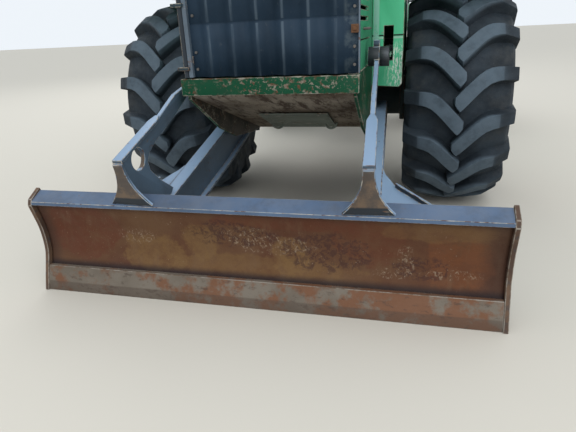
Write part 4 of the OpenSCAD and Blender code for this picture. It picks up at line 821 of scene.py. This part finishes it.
def domes(name, places, radius, height):
    """Low domes facing along Y: rings that close towards the crown, one dome at each place."""
    lift = np.linspace(0, np.pi / 2, 8)[:, None]
    turn = np.linspace(0, 2 * np.pi, 32, endpoint=False)[None]
    reach = radius * np.cos(lift * 0.98)
    dome = np.stack([reach * np.cos(turn), height * np.sin(lift) + 0 * turn, reach * np.sin(turn)], -1)
    return close_ends(grid_mesh(name, dome + np.array(places, float)[:, None, None], round_v=True))


for name, y, z, height in (("front", -1.155, 2.828, -0.008), ("rear", 0.235, 2.900, 0.008)):
    places = [(x, y, z) for x in (-0.560, -0.280, 0.280, 0.560)]
    piece("lamp_lenses_" + name, domes("lamp_lenses", places, LENS_R, height), "front", "lamp", lamp_lens)

# Blade: a moldboard of rolled plate, welded between two thick end plates. Dirt has scoured the paint off
# its face, which has rusted.
BLADE_HALF, END_T = 1.265, 0.024
INNER_HALF = BLADE_HALF - END_T
FACE_INSET, FACE_T, DENT_HIGH = 0.030, 0.016, 0.11
EDGE = np.array([(0, 0), (0.021, 0.068), (0.044, 0.138), (0.066, 0.209), (0.072, 0.259), (0.071, 0.318),
                 (0.064, 0.378), (0.047, 0.446), (0.027, 0.518), (0.018, 0.552)])
rust = Finish("blade_face_rust", 0.66, gloss=0.15)
RED, OCHRE, ORANGE = (0.112, 0.038, 0.021), (0.172, 0.098, 0.042), (0.150, 0.058, 0.026)
DARK, PALE = (0.050, 0.024, 0.022), (0.32, 0.245, 0.175)
# The last two colours are painted shade: under the ledge, at the face's ends, and a shadow line just above
# the cutting edge.
SHADE, EDGE_SHADOW = (0.050, 0.028, 0.022), (0.026, 0.020, 0.022)
face_tone = rust.clouded((0.098, 0.043, 0.025), (0.128, 0.068, 0.036), (2.1, 5, 0.6), 0.36, 0.64)
face_patches = [
    # colour, share, place across, height, half width, half height
    (RED, 0.80, -0.99, 0.36, 0.26, 0.20), (OCHRE, 0.80, -0.55, 0.25, 0.24, 0.12),
    (OCHRE, 0.75, -0.28, 0.33, 0.12, 0.12), (OCHRE, 0.60, 0.00, 0.21, 0.60, 0.07),
    (OCHRE, 0.85, 0.21, 0.27, 0.11, 0.12), (RED, 0.65, 0.62, 0.38, 0.20, 0.14),
    (ORANGE, 0.75, 1.03, 0.29, 0.18, 0.15), (OCHRE, 0.45, 0.92, 0.46, 0.30, 0.06),
    (RED, 0.65, 0.20, 0.47, 0.40, 0.05)]
mottle = rust.band(rust.cloud(17, 7, 0.72), 0.34, 0.60, 0.45, 1)
for colour, share, x, z, wide, high in face_patches:
    spot = rust.times(rust.patch((x, BLADE_FRONT, z), (wide, 1, high), 0.7), mottle)
    face_tone = rust.mix(rust.times(spot, share), face_tone, colour)
face_tone = rust.clouded(face_tone, (0.150, 0.092, 0.055), (18, 5, 0.6, (1, 1, 0.2)), 0.52, 0.74, 0, 0.35)
for x, z, wide, high in ((-0.10, 0.385, 0.27, 0.085), (0.40, 0.31, 0.26, 0.115), (0.86, 0.26, 0.16, 0.07)):
    flecked = rust.times(rust.patch((x, BLADE_FRONT, z), (wide, 1, high), 0.6),
                         rust.band(rust.cloud(30, 7, 0.75, warp=0.8), 0.46, 0.56), 0.65)
    face_tone = rust.mix(flecked, face_tone, DARK)
for x, z, wide, high in ((-0.64, 0.345, 0.13, 0.05), (-0.02, 0.375, 0.17, 0.07), (0.12, 0.33, 0.24, 0.06),
                         (0.79, 0.29, 0.05, 0.10), (0.72, 0.22, 0.10, 0.03), (1.0, 0.235, 0.16, 0.03)):
    scraped = rust.times(rust.patch((x, BLADE_FRONT, z), (wide, 1, high), 0.6),
                         rust.band(rust.cloud(58, 8, 0.80, (1, 1, 0.7), warp=0.7), 0.53, 0.60), 0.6)
    face_tone = rust.mix(scraped, face_tone, PALE)
specks = rust.times(rust.band(rust.cloud(90, 4, 0.7), 0.64, 0.69), rust.band(rust.cloud(5, 3), 0.45, 0.6))
face_tone = rust.mix(rust.times(specks, 0.6), face_tone, PALE)
# Painted shade: darker under the ledge and at both ends of the face, and a painted shadow line just above the
# cutting edge.
for axis, low, high, share, colour in ((2, 0.47, 0.54, 0.6, SHADE), (0, 1.10, 1.20, 0.55, SHADE),
                                       (0, -1.14, -1.22, 0.6, SHADE), (2, 0.185, 0.145, 0.85, EDGE_SHADOW)):
    face_tone = rust.mix(rust.band(rust.axis(axis), low, high, 0, share), face_tone, colour)
blade_rust = rust.done(face_tone, rust.band(rust.cloud(9, 4), 0.35, 0.65, 0.55, 0.85),
                       rust.plus(rust.times(rust.cloud(12, 5), 0.8), rust.cloud(75, 5, 0.7)), 0.0022)
plate_rust = cloudy("blade_plate_rust", 0.7, (0.075, 0.045, 0.032), [
    ((0.145, 0.088, 0.055), (4, 5), 0.4, 0.65),
    ((0.055, 0.052, 0.055), (24, 6, 0.7), 0.52, 0.64, 0, 0.7)], (60, 5, 0.7), 0.002)
rubbed_steel = cloudy("rubbed_steel", 0.5, (0.30, 0.27, 0.235), [
    ((0.13, 0.085, 0.055), (18, 5, 0.7), 0.4, 0.65)], (90, 4), 0.0008, metallic=0.35)


def plate(name, outline, start, end):
    """An outline of (Y, Z) carried across the machine from start to end, and closed at both ends."""
    count = len(outline)
    points = np.zeros((2, count, 3))
    points[:, :, 1:] = outline
    points[:, :, 0] = np.array([start, end])[:, None]
    i = np.arange(count)
    sides = np.stack([i, (i + 1) % count, (i + 1) % count + count, i + count], -1).tolist()
    mesh = bpy.data.meshes.new(name)
    mesh.from_pydata(points.reshape(-1, 3).tolist(), [], [i.tolist()[::-1], (i + count).tolist()] + sides)
    return tidy(mesh)


def blade_face(inset, low, high, rows):
    """Points of the face's profile, so far behind the end plates' edge, between two heights."""
    z = np.linspace(low, high, rows)
    curve = smooth_line(EDGE, 6)
    return np.stack([np.interp(z, curve[:, 1], curve[:, 0]) + inset + BLADE_FRONT, z], -1)


def moldboard():
    """The face: its profile carried across the blade, with shallow dents, and given its thickness."""
    profile = blade_face(FACE_INSET, 0.010, 0.545, 44)
    x = np.linspace(-INNER_HALF, INNER_HALF, 150)
    z = profile[:, 1:]
    dent = sum(depth * np.exp(-((x[None] - at) ** 2) / wide ** 2 - ((z - high) ** 2) / DENT_HIGH ** 2)
               for at, high, wide, depth in ((-0.72, 0.34, 0.20, 0.004), (0.18, 0.40, 0.26, 0.005),
                                             (0.80, 0.30, 0.22, 0.003), (-0.20, 0.25, 0.16, 0.002)))
    x, z = np.broadcast_to(x, dent.shape), np.broadcast_to(z, dent.shape)
    front = np.stack([x, profile[:, :1] + dent, z], -1)
    back = front[:, ::-1] + (0, FACE_T, 0)
    return tidy(grid_mesh("moldboard", np.concatenate([front, back], 1)[None], round_v=True))


face = piece("blade_moldboard", close_ends(moldboard()), "blade", "blade_rust", blade_rust)
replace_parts(face, "blade")
end_back = np.array([(0.040, 0.552), (0.120, 0.596), (0.190, 0.470),
                     (0.210, 0.300), (0.150, 0.070), (0.110, 0)])
end_outline = np.vstack([blade_face(0, 0, 0.518, 26), end_back + (BLADE_FRONT, 0)])
for name, low, high in (("left", INNER_HALF, BLADE_HALF), ("right", -BLADE_HALF, -INNER_HALF)):
    end = plate("end_plate", end_outline, low, high)
    end = piece("blade_end_plate_" + name, end, "blade", "blade_rust", plate_rust, rubbed_steel)
    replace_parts(ease(end, 0.004), "blade")

# Ledge and back plate of the blade: flat and bent plate, welded between the end plates. They close the
# moldboard into a box, and their blue-grey paint is still on.
blue = paint("ledge_paint", (0.098, 0.152, 0.25), 0.12, (0.15, 0.13, 0.11), 0.5, 0.1, 0.75)
blue_edge = paint("ledge_worn_edge", (0.30, 0.34, 0.37), 0.5, (0.45, 0.42, 0.37), 0.45, 0.2, 0.8)
LEDGE = [(0.030, 0.540), (0.120, 0.582), (0.120, 0.562), (0.030, 0.520)]
BACK_PLATE = [(0.060, 0.077), (0.178, 0.138), (0.202, 0.160), (0.202, 0.334),
              (0.190, 0.458), (0.126, 0.574), (0.114, 0.5656), (0.178, 0.458),
              (0.190, 0.334), (0.190, 0.1648), (0.1708, 0.1476), (0.048, 0.0866)]
for name, outline, width in (("ledge", LEDGE, 0.002), ("back_plate", BACK_PLATE, 0.003)):
    made = plate(name, np.array(outline) + (BLADE_FRONT, 0), -INNER_HALF, INNER_HALF)
    made = piece("blade_" + name, made, "blade", "arm_blue_grey", blue, blue_edge)
    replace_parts(ease(made, width), "blade")

# Cutting edge: a strip of wear steel welded along the moldboard's foot, ground to a bevel. The ground scours
# it, and it rusts most towards the machine's left.
strip_coat = Finish("cutting_edge_steel", 0.6, 0.1, gloss=0.15)
strip_tone = strip_coat.clouded((0.150, 0.125, 0.100), (0.195, 0.168, 0.138), (3, 5), 0.4, 0.62)
rusting = strip_coat.band(strip_coat.axis(0), -1.0, 1.1, -0.025, 0.11)
blotches = strip_coat.node("Math", {0: strip_coat.cloud(8, 7, 0.66), 1: rusting}, operation="ADD").outputs[0]
strip_tone = strip_coat.mix(strip_coat.band(blotches, 0.48, 0.62, 0, 0.85), strip_tone, (0.180, 0.078, 0.040))
dirt = (28, 6, 0.7, (0.5, 1, 1))
strip_tone = strip_coat.clouded(strip_tone, (0.075, 0.052, 0.042), dirt, 0.54, 0.66, 0, 0.6)
low_edge = strip_coat.band(strip_coat.axis(2), 0.060, 0.052, 0, 0.5)
strip_tone = strip_coat.mix(low_edge, strip_tone, (0.085, 0.062, 0.050))
strip_steel = strip_coat.done(strip_tone, strip_coat.band(strip_coat.cloud(9, 4), 0.35, 0.65, 0.45, 0.75),
                              strip_coat.cloud(60, 5, 0.7), 0.002)
eased_node("cutting_edge", "blade", "edge_steel", 0.003, strip_steel, rubbed_steel)


# Blade arms: thick upright plates with flanges and flared feet, box-section push arms and a gusset beside
# each, welded to the blade's back and pinned to the front frame. The feet lean over the ledge to its front
# edge, where dirt has rusted them.
LIFT_PIN, PIN_PATCH = (0, -2.465, 1.180), (9, 0.085, 0.085)


def arm_light_and_wear(made, coat):
    """Painted light: paler where the arms face up. Also rusty on the feet's fronts, near black low on the
    feet's fronts by the ledge, and black round the lift cylinder's pin.
    """
    rise, front = made.axis(2, made.facing), made.axis(1, made.facing)
    # Painted light: faces that look up are painted a paler blue-grey.
    coat = made.mix(made.band(rise, 0.15, 0.55), coat, (0.225, 0.325, 0.465))
    foot = made.times(made.band(front, -0.3, -0.5), made.band(made.axis(2), 0.80, 0.76))
    dirt = made.clouded((0.150, 0.105, 0.072), (0.080, 0.066, 0.058), (13, 6, 0.7), 0.38, 0.62)
    coat = made.mix(foot, coat, dirt)
    base = made.times(made.band(front, -0.3, -0.5), made.band(made.axis(2), 0.592, 0.582))
    coat = made.mix(base, coat, (0.020, 0.026, 0.034))
    outside = made.band(made.unsigned(made.axis(0)), 0.500, 0.505)
    boss = made.times(made.patch(LIFT_PIN, PIN_PATCH, 0.0), outside)
    return made.mix(boss, coat, (0.030, 0.036, 0.043))


arm_blue = paint("arm_paint", (0.078, 0.122, 0.175), 0.14, (0.14, 0.12, 0.10), 0.45, 0.0, 0.8, arm_light_and_wear)
arm_edge = paint("arm_worn_edge", (0.24, 0.32, 0.41), 0.5, (0.45, 0.42, 0.36), 0.45, 0.1, 0.8)
# In plan: an upright's place, half its flange's width, and its lean towards the middle. In its own plane, as
# (back, up): the foot plate's two ends, and where the lower end goes, to be wider there by FLARE.
UPRIGHT_X, FLANGE_HALF, TOE_IN = 0.615, 0.028, math.radians(2.9)
FOOT_LOW, FOOT_HIGH, FOOT_T = np.array([0.112, 0.584]), np.array([-0.021, 0.781]), 0.0115
TOE, FLARE = np.array([0.043, 0.550]), 1.05


def feet_over_ledge(mesh):
    """Each foot's plate leans out until it stands at the ledge's front edge, a little wider than before.

    It is a shear in the upright's own plane: a point of the plate moves by the step from FOOT_LOW to TOE,
    times its share of the way down from FOOT_HIGH. The points outside the plate stay.
    """
    points = np.empty(len(mesh.vertices) * 3)
    mesh.vertices.foreach_get("co", points)
    points = points.reshape(-1, 3)
    run = FOOT_HIGH - FOOT_LOW
    for side in (1, -1):
        x, y = points[:, 0] * side - UPRIGHT_X, points[:, 1] - BLADE_FRONT
        across = x * math.cos(TOE_IN) + y * math.sin(TOE_IN)
        along = y * math.cos(TOE_IN) - x * math.sin(TOE_IN)
        back, up = along - FOOT_LOW[0], points[:, 2] - FOOT_LOW[1]
        share = (back * run[0] + up * run[1]) / (run @ run)
        depth = np.abs(run[0] * up - run[1] * back) / np.linalg.norm(run)
        foot = (depth < FOOT_T) & (share > -0.01) & (share < 1.01) & (np.abs(across) < 0.13)
        down = np.where(foot, 1 - share, 0)
        wider = np.where(foot & (np.abs(across) > FLANGE_HALF), 1 + (FLARE - 1) * down, 1)
        across = across * wider
        along = along + down * (TOE - FOOT_LOW)[0]
        points[:, 2] += down * (TOE - FOOT_LOW)[1]
        x = across * math.cos(TOE_IN) - along * math.sin(TOE_IN)
        y = across * math.sin(TOE_IN) + along * math.cos(TOE_IN)
        points[:, 0] = np.where(foot, side * (x + UPRIGHT_X), points[:, 0])
        points[:, 1] = np.where(foot, y + BLADE_FRONT, points[:, 1])
    mesh.vertices.foreach_set("co", points.ravel())
    mesh.update()


feet_over_ledge(eased_node("blade_arms", "blade", "arm_blue_grey", 0.003, arm_blue, arm_edge).data)

# Cylinders: of the blade, the steering, the boom and the tongs. Each is a black steel barrel with a chromed
# rod, pinned by an eye at either end.
chrome = Finish("rod_chrome", 0.16, 1.0)
chrome_tone = chrome.clouded((0.62, 0.63, 0.65), (0.40, 0.38, 0.36), (14, 4, 0.6, (1, 0.3, 1)), 0.45, 0.7)
rod_chrome = chrome.done(chrome_tone, chrome.band(chrome.cloud(20, 4), 0.4, 0.7, 0.12, 0.35))
for node in ("blade_barrels", "boom_barrels", "tong_barrel", "steer_barrel_left", "steer_barrel_right"):
    eased_node(node, node, "guard_black", 0.003, black, black_edge)
eye_coat = Finish("rod_and_eye", 0.3, 1.0)
eye = eye_coat.patch(LIFT_PIN, PIN_PATCH, 0.0)
eye_tone = eye_coat.mix(eye, (0.60, 0.61, 0.63), (0.075, 0.082, 0.090))
rod_and_eye = eye_coat.done(eye_tone, eye_coat.band(eye, 0, 1, 0.16, 0.5))
eased_node("blade_rods", "blade_rods", "rod_chrome", 0.003, rod_and_eye, rod_and_eye)
for node in ("boom_rods", "tong_rod", "steer_rod_left", "steer_rod_right"):
    eased_node(node, node, "rod_chrome", 0.002, rod_chrome, rod_chrome)

# Rear frame, tank and arch: the half behind the articulation joint, of thick plate and box section, welded
# and painted green. The tank is bolted on the frame, and the arch stands on it and carries the boom.
eased_node("rear_frame", "rear", "machine_green", 0.004, green, green_edge)
eased_node("rear_tank", "rear", "machine_green", 0.012, sheet_green, green_edge)
eased_node("arch", "rear", "machine_green", 0.004, green, green_edge)

# Boom and grapple: a box-section boom pinned to the arch, and from its end the link, the turning head and
# the two curved tongs. They are welded from wear plate, painted black and scoured by logs.
for node in ("boom", "grapple_link", "grapple_head", "tong_left", "tong_right"):
    eased_node(node, node, "guard_black", 0.004, black, black_edge)
